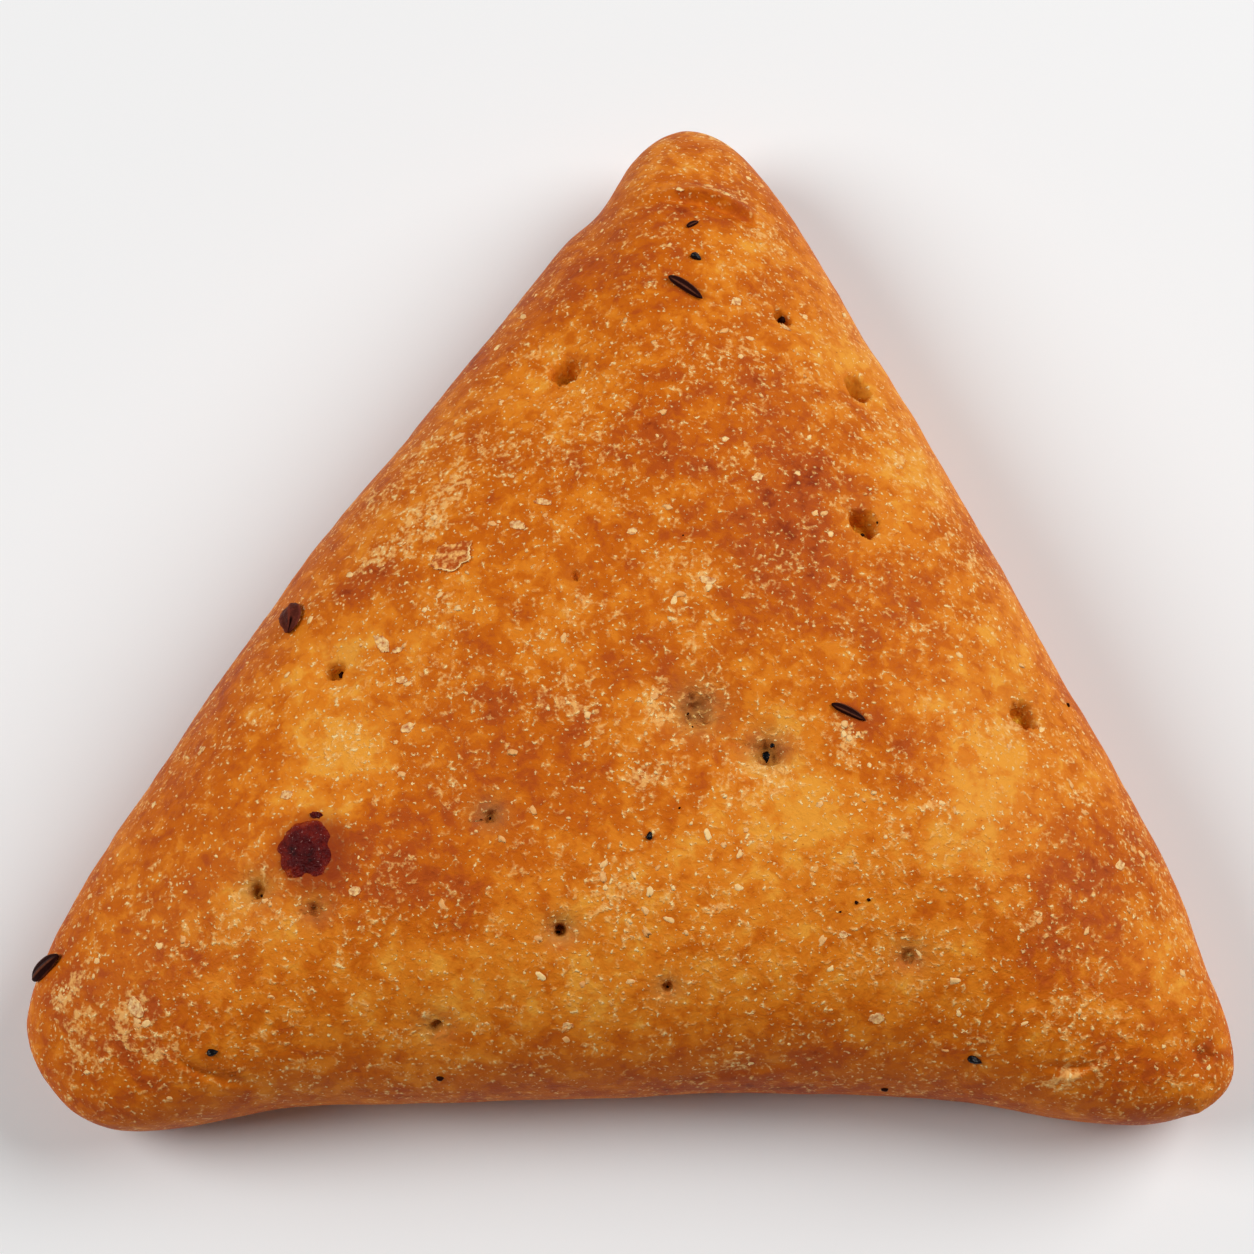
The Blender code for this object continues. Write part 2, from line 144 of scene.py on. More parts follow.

# ---- Browning, with a few rows of painted shade: x, y, reach along x and y, and how much darker (or, below 0, paler) the crust is ----
BASE_TOAST = 0.45
PATCH_TOAST = 0.35  # how much a patch of strength 1 adds
SIDE_SHADE = 0.17  # painted shade: how much darker the sides are, added to their browning
SIDE_SHADE_FALLS = (55.0, 115.0)  # between these falls the painted shade of the sides sets in
HOLLOW_TOAST = -0.12
FOOT_TOAST, FOOT_FLOUR = 0.55, 0.8  # of the base, which is browned and floured evenly
FOOT_EDGE = 1.5  # the base's look reaches up to here
BROWNING_AND_SHADE = (
    (1, 41, 7, 8, 0.5),
    (8, 57, 7, 4, -0.45),
    (1, 12, 9, 4, 0.9),
    (12, 22, 10, 6, 0.5),
    (18, 6, 7, 8, 0.8),
    (17, -6, 7, 6, 0.55),
    (-30, -3, 5, 3, 0.8),
    (-15, 15, 7, 4, 0.25),
    (-15, -1, 6, 4, 0.25),
    (-47, -6, 5, 6, 0.4),
    (-50, -29, 7, 8, 0.25),
    (-60, -43, 7, 8, 0.15),
    (-58, -58, 7, 5, 0.6),
    (53, -36, 7, 8, 0.65),
    (50, -48, 7, 6, 0.4),
    (64, -46, 5, 9, -0.55),
    (32, -6, 7, 8, 0.75),
    (29, -23, 6, 6, 0.6),
    (1, -17, 6, 5, 0.6),
    (-17, -25, 8, 9, 0.5),
    (-27, -37, 8, 6, 0.6),
    (-49, -48, 10, 5, 0.15),
    (20, 35, 5, 3, 0.3),
    (-3, 0, 7, 5, 0.3),
    (-7, 22, 7, 5, -0.45),
    (-35, -14, 7, 6, -0.6),
    (-33, -24, 7, 6, -0.9),
    (-8, -10, 7, 8, -0.2),
    (16, -29, 7, 6, -0.8),
    (2, -21, 4, 4, -0.5),
    (30, 29, 7, 6, -0.9),
    (15, 42, 7, 4, -0.6),
    (41, -26, 7, 8, -0.8),
    (31, 5, 5, 5, -0.3),
    (8, -3, 6, 4, -0.6),
    (24, -14, 4, 3, -0.5),
    (-43, -43, 4, 4, -0.8),
    (-3, -43, 16, 8, -0.5),
    (25, -40, 18, 10, -0.6),
    (-15, -51, 18, 6, -0.5),
    (25, -53, 24, 6, -0.2),
    (44, -9, 7, 9, -0.55),
    (36, 15, 6, 9, -0.6),
    (19, -35, 7, 5, -0.3),
    (24, 33, 5, 7, -0.4),
    (-21, -3, 6, 4, -0.5),
    (-8, 15, 8, 4, -0.4),
    (57, -25, 5, 7, -0.6),
    (48, -26, 5, 6, -0.4),
    (38, -37, 6, 5, -0.4),
    (35, -19, 6, 4, -0.35),
    (-50, -17, 5, 5, 0.2),
    (33, 14, 4, 9, -0.45),
    (-1, -45, 4, 4, -0.4),
    (24, 8, 3, 4, 0.4),
    (-16, -46, 6, 5, 0.4),
    (8, -46, 5, 4, 0.3),
    (15, -58, 6, 3, 0.3),
    (16, 26, 5, 5, -0.25),
    (66.7, -57, 2.2, 1.8, 0.7),
    (-40, -45, 6, 4, -0.4),
    (-33, -30, 5, 4, -0.4),
    (20, -60, 30, 3, 0.35),
    (11.4, 48.4, 3.0, 1.0, 0.6),
    (14.3, 46.0, 2.5, 1.1, 0.3),
    # painted shade: this row and the next darken the upper left edge, where the fill light falls strongly
    (-18, 29, 5, 4, 0.6),
    (-10, 38, 5, 4, 0.2),
    (-17, -6, 5, 4, -0.35),
    (-26, -11, 6, 5, -0.3),
    (15, -20, 4, 4, -0.45),
    (32, -2, 6, 6, -0.35),
    (31, -20, 5, 5, -0.3),
    (40, -5, 5, 6, -0.3),
    (11, 0, 8, 6, 0.35),
    (7, -33, 6, 4, 0.3),
    (-17, -41, 6, 4, 0.3),
    (19, -37, 7, 3, 0.4),
    (30, -44, 5, 4, 0.25),
    (46, -44, 5, 4, 0.45),
    (-29, -44, 6, 4, 0.2),
    # painted shade: darkens the right slope, where the key light falls strongly
    (56, -25, 4, 5, 0.15),
    (-37, -58, 5, 4, -0.25),
    (7, -58, 5, 3, -0.25),
    (-57, -38, 5, 5, -0.2),
    (-65, -57, 4, 4, -0.2),
    (3, 46, 4, 3, 0.25),
    (23, -7, 4, 5, -0.2),
    (16, 47, 3, 3, -0.4),
    (-9, 15, 5, 4, -0.25),
    (3, -45, 6, 4, 0.25),
    (59, -42, 6, 5, -0.3),
    (7, 46, 4, 3, 0.3),
    (-6, 36, 6, 4, 0.25),
    (15, 36, 5, 3, 0.25),
    (-9, -20, 5, 4, 0.3),
    (-41, -36, 4, 4, 0.3),
    (4, -29, 10, 6, 0.25),
    (-17, -38, 8, 6, 0.2),
    (-8, -44, 6, 4, 0.15),
    (28, -38, 6, 4, 0.2),
    (38, -58, 5, 3, 0.3),
    (27.8, 4.8, 1.9, 1.9, -0.9),
)

# ---- Flour baked into the crust: x, y, reach along and across, direction, strength ----
FLOUR_EDGE = 1.4  # a higher power gives the patches a sharper edge
FLOUR = (
    (-25, 4, 5.5, 3.4, 42, 0.95),
    (-21, 9, 4.5, 2.4, 50, 0.55),
    (-14, 12, 8.0, 2.6, -27, 0.5),
    (-27, 12, 5.0, 2.0, 48, 0.5),
    (-30, 0, 2.2, 1.5, 40, 0.8),
    (-8, 24, 5.0, 4.5, 0, 0.25),
    (-20, -20, 3.0, 4.0, 80, 0.3),
    (-6, -9, 3.0, 5.0, 100, 0.3),
    (-7, -20, 2.5, 5.0, 70, 0.4),
    (8, -4, 4.0, 2.2, -15, 0.7),
    (3.1, -20.5, 1.4, 2.0, 0, 1.3),
    (1.8, -28.7, 1.3, 2.0, 10, 1.2),
    (-2.1, -40.8, 3.4, 2.8, 20, 0.8),
    (4.6, -41.5, 1.0, 2.4, 10, 0.6),
    (10.3, -42.2, 1.6, 1.3, 0, 0.7),
    (15.0, -29.2, 4.6, 2.4, 0, 0.8),
    (25.1, -22.8, 1.6, 0.9, -30, 1.2),
    (24.4, -25.6, 2.2, 1.6, -60, 0.8),
    (28.7, -32.6, 1.1, 1.7, 0, 1.3),
    (29.9, -34.9, 1.9, 0.9, 50, 1.0),
    (13.5, -35.8, 3.0, 1.5, 0, 0.6),
    (35.0, -31.8, 1.0, 1.0, 0, 1.0),
    (29.0, 9.0, 2.4, 1.8, 0, 0.2),
    (-33, -24, 5.0, 4.0, 0, 0.35),
    (-43, -44, 3.8, 2.4, 0, 0.7),
    (-57.0, -53.7, 2.4, 2.6, 10, 0.95),
    (-57.6, -56.3, 0.8, 1.6, 10, 0.7),
    (-63.5, -54.1, 2.2, 3.4, 10, 0.65),
    (-53.6, -57.4, 2.1, 1.9, 20, 0.75),
    (-61.0, -58.0, 1.8, 1.6, 0, 0.7),
    (-62.8, -48.5, 1.8, 0.9, 30, 1.2),
    (12.4, 63.4, 4.2, 1.5, -25, 2.0),
    (49.4, -59.3, 3.4, 1.2, 3, 1.3),
    (60.0, -30.0, 2.4, 6.0, 10, 0.4),
    (-64.5, -49.5, 1.6, 1.2, 30, 0.9),
    (-62.5, -46.8, 1.8, 1.0, 60, 0.6),
    (11.5, 51.2, 3.2, 0.9, -20, 1.1),
    (18.0, 44.0, 4.0, 2.0, -50, 0.5),
    (40.0, 3.0, 2.5, 8.0, 20, 0.45),
    (45.0, -22.0, 4.0, 5.0, 0, 0.4),
    (-22.0, -4.0, 5.0, 3.0, 0, 0.3),
    (-5.0, 15.0, 9.0, 4.0, 0, 0.35),
    (8.0, 25.0, 6.0, 3.0, 0, 0.3),
    (16.0, 25.0, 5.0, 4.0, 0, 0.35),
    (33.0, 14.0, 3.0, 8.0, 15, 0.4),
    (-1.0, -44.5, 4.0, 2.5, 0, 0.3),
    (63.0, -42.0, 3.0, 6.0, 10, 0.4),
    (52.0, -54.0, 8.0, 2.0, 0, 0.3),
)

# ---- Thin flakes of dry dough: x, y, length, width, direction, how far the edge curls up ----
FLAKES = (
    (-20.7, -1.2, 4.9, 3.7, 10.0, 0.30),
    (-28.6, -11.6, 2.8, 1.3, -55.0, 0.10),
    (-26.8, -12.6, 1.1, 0.7, 10.0, 0.08),
    (-10.1, 5.2, 2.2, 0.9, -15.0, 0.08),
    (-13.0, 2.2, 2.0, 1.2, -20.0, 0.08),
    (0.3, 1.0, 1.2, 0.8, 10.0, 0.06),
    (56.5, -36.0, 1.5, 1.0, 30.0, 0.08),
    (28.0, -54.3, 1.7, 1.3, 20.0, 0.08),
    (-7.0, -55.2, 1.1, 0.8, 0.0, 0.06),
    (-56.2, -52.6, 2.4, 1.6, -55.0, 0.10),
    (-39.1, -29.6, 1.4, 1.0, 0.0, 0.08),
    (-31.0, -41.2, 1.4, 1.0, 10.0, 0.08),
    (12.9, 33.3, 1.4, 1.1, 40.0, 0.06),
    (18.9, 30.8, 1.5, 0.6, -25.0, 0.08),
    (-25.3, -22.3, 1.6, 1.1, 20.0, 0.06),
    (-26.2, -16.4, 1.3, 0.9, 0.0, 0.06),
    (-50.0, -22.0, 1.2, 0.8, 30.0, 0.06),
    (24.0, -46.0, 1.0, 0.8, 0.0, 0.06),
    (15.0, 8.5, 1.6, 1.0, 30.0, 0.06),
    (9.0, -5.0, 1.8, 1.0, -10.0, 0.06),
)
BARE_FLAKE = 4.0  # a longer flake than this shows the brown crust and is pale along its edge only
FLAKE_RAGS = ((1.6, 0.30), (4.5, 0.18), (11.0, 0.07))  # how often and how much a flake's edge is ragged
FLAKE_THICKNESS = 0.08

# ---- Seeds: x, y, direction, length, width, height ----
CARAWAYS = (
    (6.8, 34.8, -40.0, 5.3, 1.4, 1.0),
    (25.0, -20.7, -27.0, 4.4, 1.15, 0.9),
    (-67.6, -46.3, 6.0, 5.5, 2.1, 1.6),
    (7.7, 44.9, 38.0, 1.9, 0.75, 0.6),
)
NIGELLAS = (
    (8.1, 39.6, -35.0, 1.45, 0.9, 0.8),
    (-47.3, -57.6, 15.0, 1.3, 0.8, 0.7),
    (39.3, -58.1, -35.0, 1.8, 0.85, 0.8),
    (2.2, -35.4, 80.0, 1.0, 0.65, 0.6),
    (15.6, -25.4, -75.0, 1.7, 0.85, 0.7),
    (16.3, -24.2, 55.0, 0.9, 0.4, 0.4),
)
HUSK = (-39.7, -6.2, -79.0, 4.6, 2.7, 1.8)
HUSK_SIDES = 5
CARAWAY_RIBS = 5
CARAWAY_BEND = 0.14  # how far a caraway seed bends aside, in its widths

# ---- Scorched crumbs: x, y, width. The second and third lie down in prick holes as painted shade that darkens them ----
SCORCHED = (
    (27.4, 2.3, 0.65),
    # painted shade: this crumb and the next sit down in prick holes and darken them
    (-34.4, -13.7, 0.9),
    (19.2, 33.0, 1.2),
    (29.6, 4.8, 0.35),
    (51.8, -15.5, 0.6),
    (25.5, -42.6, 0.5),
    (26.9, -42.3, 0.5),
    (23.7, -43.6, 0.3),
    (-21.7, -59.7, 0.9),
    (-8.0, -46.2, 0.5),
    (-42.3, -41.1, 0.45),
    (-15.9, -33.1, 0.35),
    (4.3, -51.9, 0.35),
    (29.5, -60.0, 0.9),
    (7.2, -22.5, 0.3),
    (6.8, -20.7, 0.3),
    (5.6, -32.2, 0.3),
    (6.2, 0.5, 0.25),
)

# ---- The filling that broke through ----
LEAK_PLACE = (-36.4, -36.5)
STAIN_PLACE = (-35.6, -36.6)
STAIN_REACH = 4.6
LEAK_LUMPS = ((2.4, 0.46), (1.0, 0.22), (0.5, 0.13))  # spacing and height of its lumps
DROP = (-35.6, -32.3, -10.0, 1.5, 0.8, 0.6)  # x, y, direction, length, width, height

# ---- The base: three seams where the dough was folded in ----
SEAM_DEPTH = 1.1
SEAM_WIDTH = 1.4
SEAM_BEND = 3.0
SEAM_EDGE = 0.02  # a seam ends where it is shallower than this share
SEAM_MEETING = (3.5, -18.0)
SEAM_ENDS = ((9.5, 43.0), (-50.0, -44.0), (50.0, -46.5))

# ---- The crust's mesh ----
RIM_PLACE = 0.86  # where the rim lies between the middle and the border of the upper grid
FINER_REACHES = (1.6, 0.9)  # how far each round of finer faces reaches from a feature, in its sizes
GRID_BORDER = 0.9999  # the points past this share lie on the border of the lower grid
SEWING_DISTANCE = 0.002  # points of the two skins that are as near as this become one
RAY_START = 6.0  # how far outside the crust a ray starts that looks for it

# ---- Fine relief of the crust: spacing and height ----
UNEVENNESS = ((14.0, 0.28), (5.0, 0.13), (2.2, 0.06))
TOAST_RIPPLES = ((9.0, 0.13), (4.5, 0.11))  # spacing and strength of the patches in the browning
FLOUR_RIPPLES = ((6.0, 0.45), (2.5, 0.35))
PATCH_PUSH = ((4.0, 2.2), (1.8, 0.8))  # how the patches of browning and flour are pushed about

# ---- Flour crumbs, drawn at random ----
CRUMB_SEED = 7
CRUMB_WIDTHS = (0.20, 0.80)
CRUMB_STRETCH = (1.0, 2.0)
CRUMB_TONES = (0.35, 1.0)
FLOURED_SHARE = 0.35  # share of the crumbs that lie where the flour is
CRUMB_LIMIT = 0.97  # crumbs past this share of the outline would fall off
CRUMB_RARITY = 3.5  # a higher power makes wide crumbs rarer
WIDE_CRUMB = 0.6  # wider crumbs have finer faces

# ---- Colours of details ----
HOLE_SHADE_TINT = (0.72, 0.60, 0.12, 1.0)  # painted shade, multiplied into the crust inside a prick hole
NIGELLA_SHEEN = (0.005, 0.006, 0.009, 1.0)
FILLING_DEEP = (0.025, 0.002, 0.002, 1.0)
FILLING_BRIGHT = (0.18, 0.010, 0.005, 1.0)
FILLING_THIN = (0.42, 0.055, 0.006, 1.0)
FILLING_GLINT = (0.60, 0.30, 0.26, 1.0)


def length_property(name, description, default):
    return FloatProperty(name=name, description=description, default=default, unit="LENGTH")


def colour_property(name, description, default):
    return FloatVectorProperty(
        name=name, description=description, default=default, subtype="COLOR", min=0.0, max=1.0
    )


class FatayerSizes(bpy.types.PropertyGroup):
    """Driving sizes of the pastry."""

    crown_height: length_property("Crown height", "Height of the middle of the top", 0.033)
    crown_fall: length_property("Crown fall", "How much lower the crown is at the corners", 0.0065)
    rim_height: length_property("Rim height", "Height of the widest line", 0.011)
    shoulder_power: FloatProperty(
        name="Shoulder", description="Higher is a flatter top with a tighter shoulder", default=3.4
    )
    foot_share: FloatProperty(
        name="Foot share", description="The flat base's share of the outline", default=0.86, subtype="FACTOR"
    )
    leak_width: length_property("Leak width", "Width of the leaked filling", 0.0074)
    leak_depth: length_property("Leak depth", "Size of the leaked filling along Y", 0.0072)
    leak_height: length_property("Leak height", "Height of the whole blob", 0.0032)
    leak_sink: length_property("Leak sink", "How deep the blob's middle lies below the skin", 0.0009)
    upper_cuts: IntProperty(name="Upper cuts", description="Faces on a side of the upper grid", default=240)
    lower_cuts: IntProperty(name="Lower cuts", description="Faces on a side of the lower grid", default=80)
    crumbs: IntProperty(name="Flour crumbs", description="How many pale crumbs are baked on", default=800)


class FatayerColours(bpy.types.PropertyGroup):
    """Colours of the crust, the seeds and the filling."""

    pale: colour_property("Pale crust", "The least baked dough", (0.86, 0.340, 0.036))
    gold: colour_property("Golden crust", "Evenly baked dough", (0.755, 0.214, 0.013))
    amber: colour_property("Amber crust", "Dough between gold and rust", (0.60, 0.129, 0.005))
    rust: colour_property("Rust crust", "Well browned dough", (0.47, 0.081, 0.008))
    umber: colour_property("Dark crust", "The darkest dough", (0.28, 0.036, 0.006))
    flour: colour_property("Flour", "Flour baked into the crust", (0.95, 0.50, 0.15))
    # also the colour of the painted glints on the crust
    speck_and_glint: colour_property("Specks", "The small pale blisters", (1.00, 0.70, 0.31))
    ash: colour_property("Grey dough", "Damp dough round a prick hole", (0.36, 0.185, 0.065))
    maroon: colour_property("Filling", "Leaked berry filling", (0.085, 0.004, 0.004))
    stain: colour_property("Stain", "Dough soaked with filling", (0.26, 0.030, 0.008))
    caraway: colour_property("Caraway", "Caraway seed", (0.022, 0.005, 0.004))
    caraway_rib: colour_property("Caraway rib", "The ribs of a caraway seed", (0.15, 0.045, 0.022))
    nigella: colour_property("Nigella", "Nigella seed", (0.004, 0.003, 0.003))
    husk: colour_property("Husk", "A piece of brown husk", (0.15, 0.030, 0.017))
    scorched: colour_property("Scorched crumbs", "Small burnt crumbs", (0.020, 0.004, 0.002))
    floor: colour_property("Floor", "The floor that the pastry lies on", (0.92, 0.92, 0.92))


class FatayerStage(bpy.types.PropertyGroup):
    """Camera and lights."""

    elevation: FloatProperty(
        name="Elevation", description="How steeply it looks down", default=np.radians(70.0), subtype="ANGLE"
    )
    distance: length_property("Distance", "From the camera to the point that it looks at", 0.4222)
    focal_length: FloatProperty(name="Focal length", description="The lens in millimetres", default=100.0)
    key_power: FloatProperty(name="Key power", description="The main light's", default=8.5, unit="POWER")
    fill_power: FloatProperty(name="Fill power", description="The second light's", default=5.9, unit="POWER")
    sky: FloatProperty(name="Sky", description="Strength of the light from all round", default=0.08)
    floor_width: length_property("Floor width", "Length of each side of the floor", 4.0)


# ---- The stage, in metres ----
LOOK_AT = (-0.0003, -0.0031, 0.012)
SENSOR_WIDTH = 36.0  # in millimetres
KEY_PLACE = (0.70, 0.28, 0.67)
KEY_WIDTH = 0.8
FILL_PLACE = (-0.74, 0.0, 0.68)
FILL_WIDTH = 0.6


# ---- Reading the settings ----


def size(name):
    """A driving size in millimetres."""
    return getattr(bpy.context.scene.fatayer_sizes, name) / MILLIMETRE


def colour(name):
    return (*getattr(bpy.context.scene.fatayer_colours, name), 1.0)


# ---- The shape of the crust ----


def outline_reach(direction, share=1.0):
    """How far the rim is from the middle, looking along a direction in radians."""
    pull = 0.0
    for facing, distance in SIDES:
        towards = np.maximum(np.cos(direction - np.radians(facing)), 0.0)
        pull = pull + (towards / distance) ** CORNER_POWER
    reach = pull ** (-1.0 / CORNER_POWER)
    for facing, height, spread in OUTLINE_SWELLS:
        offset = (np.degrees(direction) - facing + 180.0) % 360.0 - 180.0
        reach = reach + height * share**SWELL_FADE * np.exp(-((offset / spread) ** 2))
    return reach


def level_reach(direction, share):
    """How far a level line is from the middle. The share is 0 at the crown and 1 at the rim."""
    pull = OUTLINE_PULL + (1.0 - OUTLINE_PULL) * share**2
    return share * outline_reach(direction, share) ** pull * ROUND_REACH ** (1.0 - pull)


def crown(x, y):
    """Height that the top would have without its shoulder."""
    out = np.hypot(x - MIDDLE[0], y - MIDDLE[1]) / CROWN_REACH
    height = size("crown_height") - size("crown_fall") * out**2
    for swell_x, swell_y, rise, spread in SWELLINGS:
        height = height + rise * np.exp(-((x - swell_x) ** 2 + (y - swell_y) ** 2) / spread**2)
    return height


def skin(direction, fall):
    """Points of the smooth crust. The fall is 0 at the crown, 90 at the rim and 180 at the foot."""
    sizes = bpy.context.scene.fatayer_sizes
    rim = size("rim_height")
    share = np.sin(np.radians(np.minimum(fall, RIM_FALL)))
    under = np.radians(np.maximum(fall, RIM_FALL) - RIM_FALL)
    reach = level_reach(direction, share) * (1.0 - (1.0 - sizes.foot_share) * (1.0 - np.cos(under)))
    x = MIDDLE[0] + reach * np.cos(direction)
    y = MIDDLE[1] + reach * np.sin(direction)
    above_rim = (crown(x, y) - rim) * np.sqrt(1.0 - share**sizes.shoulder_power)
    return np.stack((x, y, rim * (1.0 - np.sin(under)) + above_rim), axis=-1)


def skin_point(x, y):
    """The point of the smooth top above a place in the plan."""
    direction = np.arctan2(y - MIDDLE[1], x - MIDDLE[0])
    reach = np.hypot(x - MIDDLE[0], y - MIDDLE[1])
    low, high = 0.0, 1.0
    while high - low > 1e-6:
        share = (low + high) / 2.0
        if level_reach(direction, share) < reach:
            low = share
        else:
            high = share
    return skin(direction, np.degrees(np.arcsin(share)))


def skin_frame(x, y, direction):
    """A matrix on the skin: its X runs along a direction, its Z points out of the crust."""
    step = 0.2
    along_x = Vector(skin_point(x + step, y)) - Vector(skin_point(x - step, y))
    along_y = Vector(skin_point(x, y + step)) - Vector(skin_point(x, y - step))
    out = along_x.cross(along_y).normalized()
    turn = np.radians(direction)
    side = out.cross(Vector((np.cos(turn), np.sin(turn), 0.0))).normalized()
    axes = Matrix((side.cross(out), side, out)).transposed()
    return Matrix.Translation(skin_point(x, y)) @ axes.to_4x4()


def distance_to(points, path):
    """Distance from each point to the nearest place of a path, how far along it is, and the place."""
    nearest = np.full(len(points), np.inf)
    along = np.zeros(len(points))
    place = np.zeros_like(points)
    for number, (start, end) in enumerate(zip(path[:-1], path[1:])):
        run = end - start
        way = np.clip((points - start) @ run / (run @ run), 0.0, 1.0)
        foot = start + way[:, None] * run
        apart = np.linalg.norm(points - foot, axis=1)
        closer = apart < nearest
        nearest = np.where(closer, apart, nearest)
        along = np.where(closer, (number + way) / (len(path) - 1.0), along)
        place = np.where(closer[:, None], foot, place)
    return nearest, along, place


def fold_path(places):
    start, middle, end = (np.array(place) for place in places)
    way = np.linspace(0.0, 1.0, PATH_POINTS)[:, None]
    handle = 2.0 * middle - (start + end) / 2.0
    bend = (1.0 - way) ** 2 * start + 2.0 * way * (1.0 - way) * handle + way**2 * end
    return skin(np.radians(bend[:, 0]), bend[:, 1])


def seam_path(end):
    meeting = np.array(SEAM_MEETING)
    way = np.linspace(0.0, 1.0, PATH_POINTS)[:, None]
    run = np.array(end) - meeting
    across = np.array((-run[1], run[0])) / np.linalg.norm(run)
    return meeting + way * run + SEAM_BEND * np.sin(np.pi * way) * across


def ripple(points, layers, shift=0.0):
    """Sum of layers of smooth noise, each with its spacing and height."""
    rise = np.zeros(len(points))
    for spacing, height in layers:
        places = points / spacing + shift
        rise += height * np.array([noise.noise(Vector(place)) for place in places])
    return rise


def smooth(value):
    """Smooth step of a share."""
    share = np.clip(value, 0.0, 1.0)
    return share * share * (3.0 - 2.0 * share)


def prick_shape(points):
    """How deep the prick holes and their dimples are, how much of that is hole, which gets painted shade,
    and how grey it is.
    """
    depth = np.zeros(len(points))
    hollow = np.zeros(len(points))
    grey = np.zeros(len(points))
    ragged = 1.0 + ripple(points, RAGGED_WALL, 5.0)
    wrinkles = np.abs(ripple(points, (PUCKER,), 9.0))
    lip_height, lip_place, lip_spread = PRICK_LIP
    for x, y, radius, hole, dimple, ashen in PRICKS:
        centre = skin_point(x, y)
        away = np.linalg.norm(points - centre, axis=1)
        apart = away / (radius * ragged)
        front = np.clip((centre[1] - points[:, 1]) / radius, -1.0, 1.0)
        foot = np.interp(front, (-1.0, 0.6), (BACK_WALL, FRONT_WALL))
        wall = smooth((HOLE_EDGE - apart) / (HOLE_EDGE - foot))
        lip = lip_height * min(1.0, hole) * np.exp(-(((apart - lip_place) / lip_spread) ** 2))
        lip *= np.clip(front + 0.3, 0.0, 1.0)
        depth += hole * wall - lip + dimple * np.exp(-((apart / DIMPLE_SPREAD) ** 2))
        depth += ashen * wrinkles * np.exp(-((apart / 1.5) ** 2))
        hollow += min(1.0, hole / HOLE_SHADE_DEPTH) * wall
        grey += ashen * np.exp(-((away / (HALO + 0.8 * radius)) ** 2))
    return depth, hollow, grey


def fold_depth(points):
    depth = np.zeros(len(points))
    for places, hollow_width, deep, lip_width, high in FOLDS:
        apart, along, nearest = distance_to(points, fold_path(places))
        run = nearest[:, :2] - MIDDLE
        outside = ((points - nearest)[:, :2] * run).sum(axis=1) / np.linalg.norm(run, axis=1)
        side = smooth(0.5 + outside / FOLD_TURN)
        hollow = deep * np.exp(-((apart / hollow_width) ** 2)) * (1.0 - side)
        lip = high * np.exp(-((apart / lip_width) ** 2)) * side
        depth += (hollow - lip) * np.sin(np.pi * np.clip(along, 0.06, 0.94))
    return depth


def seam_rise(places):
    """How far the folded seams lift the base's skin off the surface."""
    rise = np.zeros(len(places))
    for end in SEAM_ENDS:
        apart, along, _ = distance_to(places, seam_path(end))
        rise = np.maximum(rise, SEAM_DEPTH * np.exp(-((apart / SEAM_WIDTH) ** 2)) * (1.0 - along**4))
    return np.where(rise > SEAM_EDGE * SEAM_DEPTH, rise, 0.0)


def spread_over(points, x, y, along, across, direction=0.0, power=1.0):
    """An oval patch in the plan: 1 at its middle, fading out by its reach. Power sharpens its edge."""
    turn = np.radians(direction)
    run = points[:, :2] - (x, y)
    ahead = run[:, 0] * np.cos(turn) + run[:, 1] * np.sin(turn)
    aside = run[:, 1] * np.cos(turn) - run[:, 0] * np.sin(turn)
    return np.exp(-(((ahead / along) ** 2 + (aside / across) ** 2) ** power))


# ---- Working on meshes ----


def co_of(form):
    return np.array([vert.co for vert in form.verts], dtype=float)


def place_points(verts, points):
    for vert, point in zip(verts, points):
        vert.co = point


def disc_of(places):
    """Rounds a square grid into a disc: each point's share of the way out and its direction."""
    a, b = places[:, 0], places[:, 1]
    flat = np.abs(a) >= np.abs(b)
    main = np.where(flat, a, b)
    slope = np.where(flat, b, a) / np.where(main == 0.0, 1.0, main)
    direction = np.where(flat, slope, 2.0 - slope) * np.pi / 4.0 + np.where(main < 0.0, np.pi, 0.0)
    return np.abs(main), direction


def new_piece(name, form, material, attributes=None):
    """Turns a bmesh in millimetres into a smooth piece in metres that rides on the pastry."""
    bmesh.ops.scale(form, vec=Vector((MILLIMETRE,) * 3), verts=form.verts)
    mesh = bpy.data.meshes.new(name)
    form.to_mesh(mesh)
    form.free()
    for label, values in (attributes or {}).items():
        layer = mesh.attributes.new(label, "FLOAT", "POINT")
        layer.data.foreach_set("value", np.asarray(values, dtype=np.float32))
    mesh.materials.append(material)
    mesh.shade_smooth()
    piece = bpy.data.objects.new(name, mesh)
    bpy.context.scene.collection.objects.link(piece)
    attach(piece, "root")
    return piece


def form_with(label):
    """An empty form whose points each carry a value."""
    form = bmesh.new()
    return form, form.verts.layers.float.new(label)


def add_form(form, made):
    """Adds one form to another and frees it."""
    mesh = bpy.data.meshes.new("part")
    made.to_mesh(mesh)
    made.free()
    form.from_mesh(mesh)
    bpy.data.meshes.remove(mesh)


def crust_tree():
    """The finished crust's surface in millimetres, for laying things on it."""
    form = bmesh.new()
    form.from_mesh(bpy.data.objects["baked_crust"].data)
    bmesh.ops.scale(form, vec=Vector((1.0 / MILLIMETRE,) * 3), verts=form.verts)
    tree = BVHTree.FromBMesh(form)
    form.free()
    return tree


def settle(tree, place):
    """Moves a frame along its own Z until it sits on the crust."""
    out = place.to_3x3().col[2]
    start = place.translation + RAY_START * out
    hit = tree.ray_cast(start, -out)[0]
    if hit is None:
        raise RuntimeError(f"nothing to lie on at {tuple(round(v, 1) for v in place.translation)}")
    return Matrix.Translation(hit) @ place.to_3x3().to_4x4()


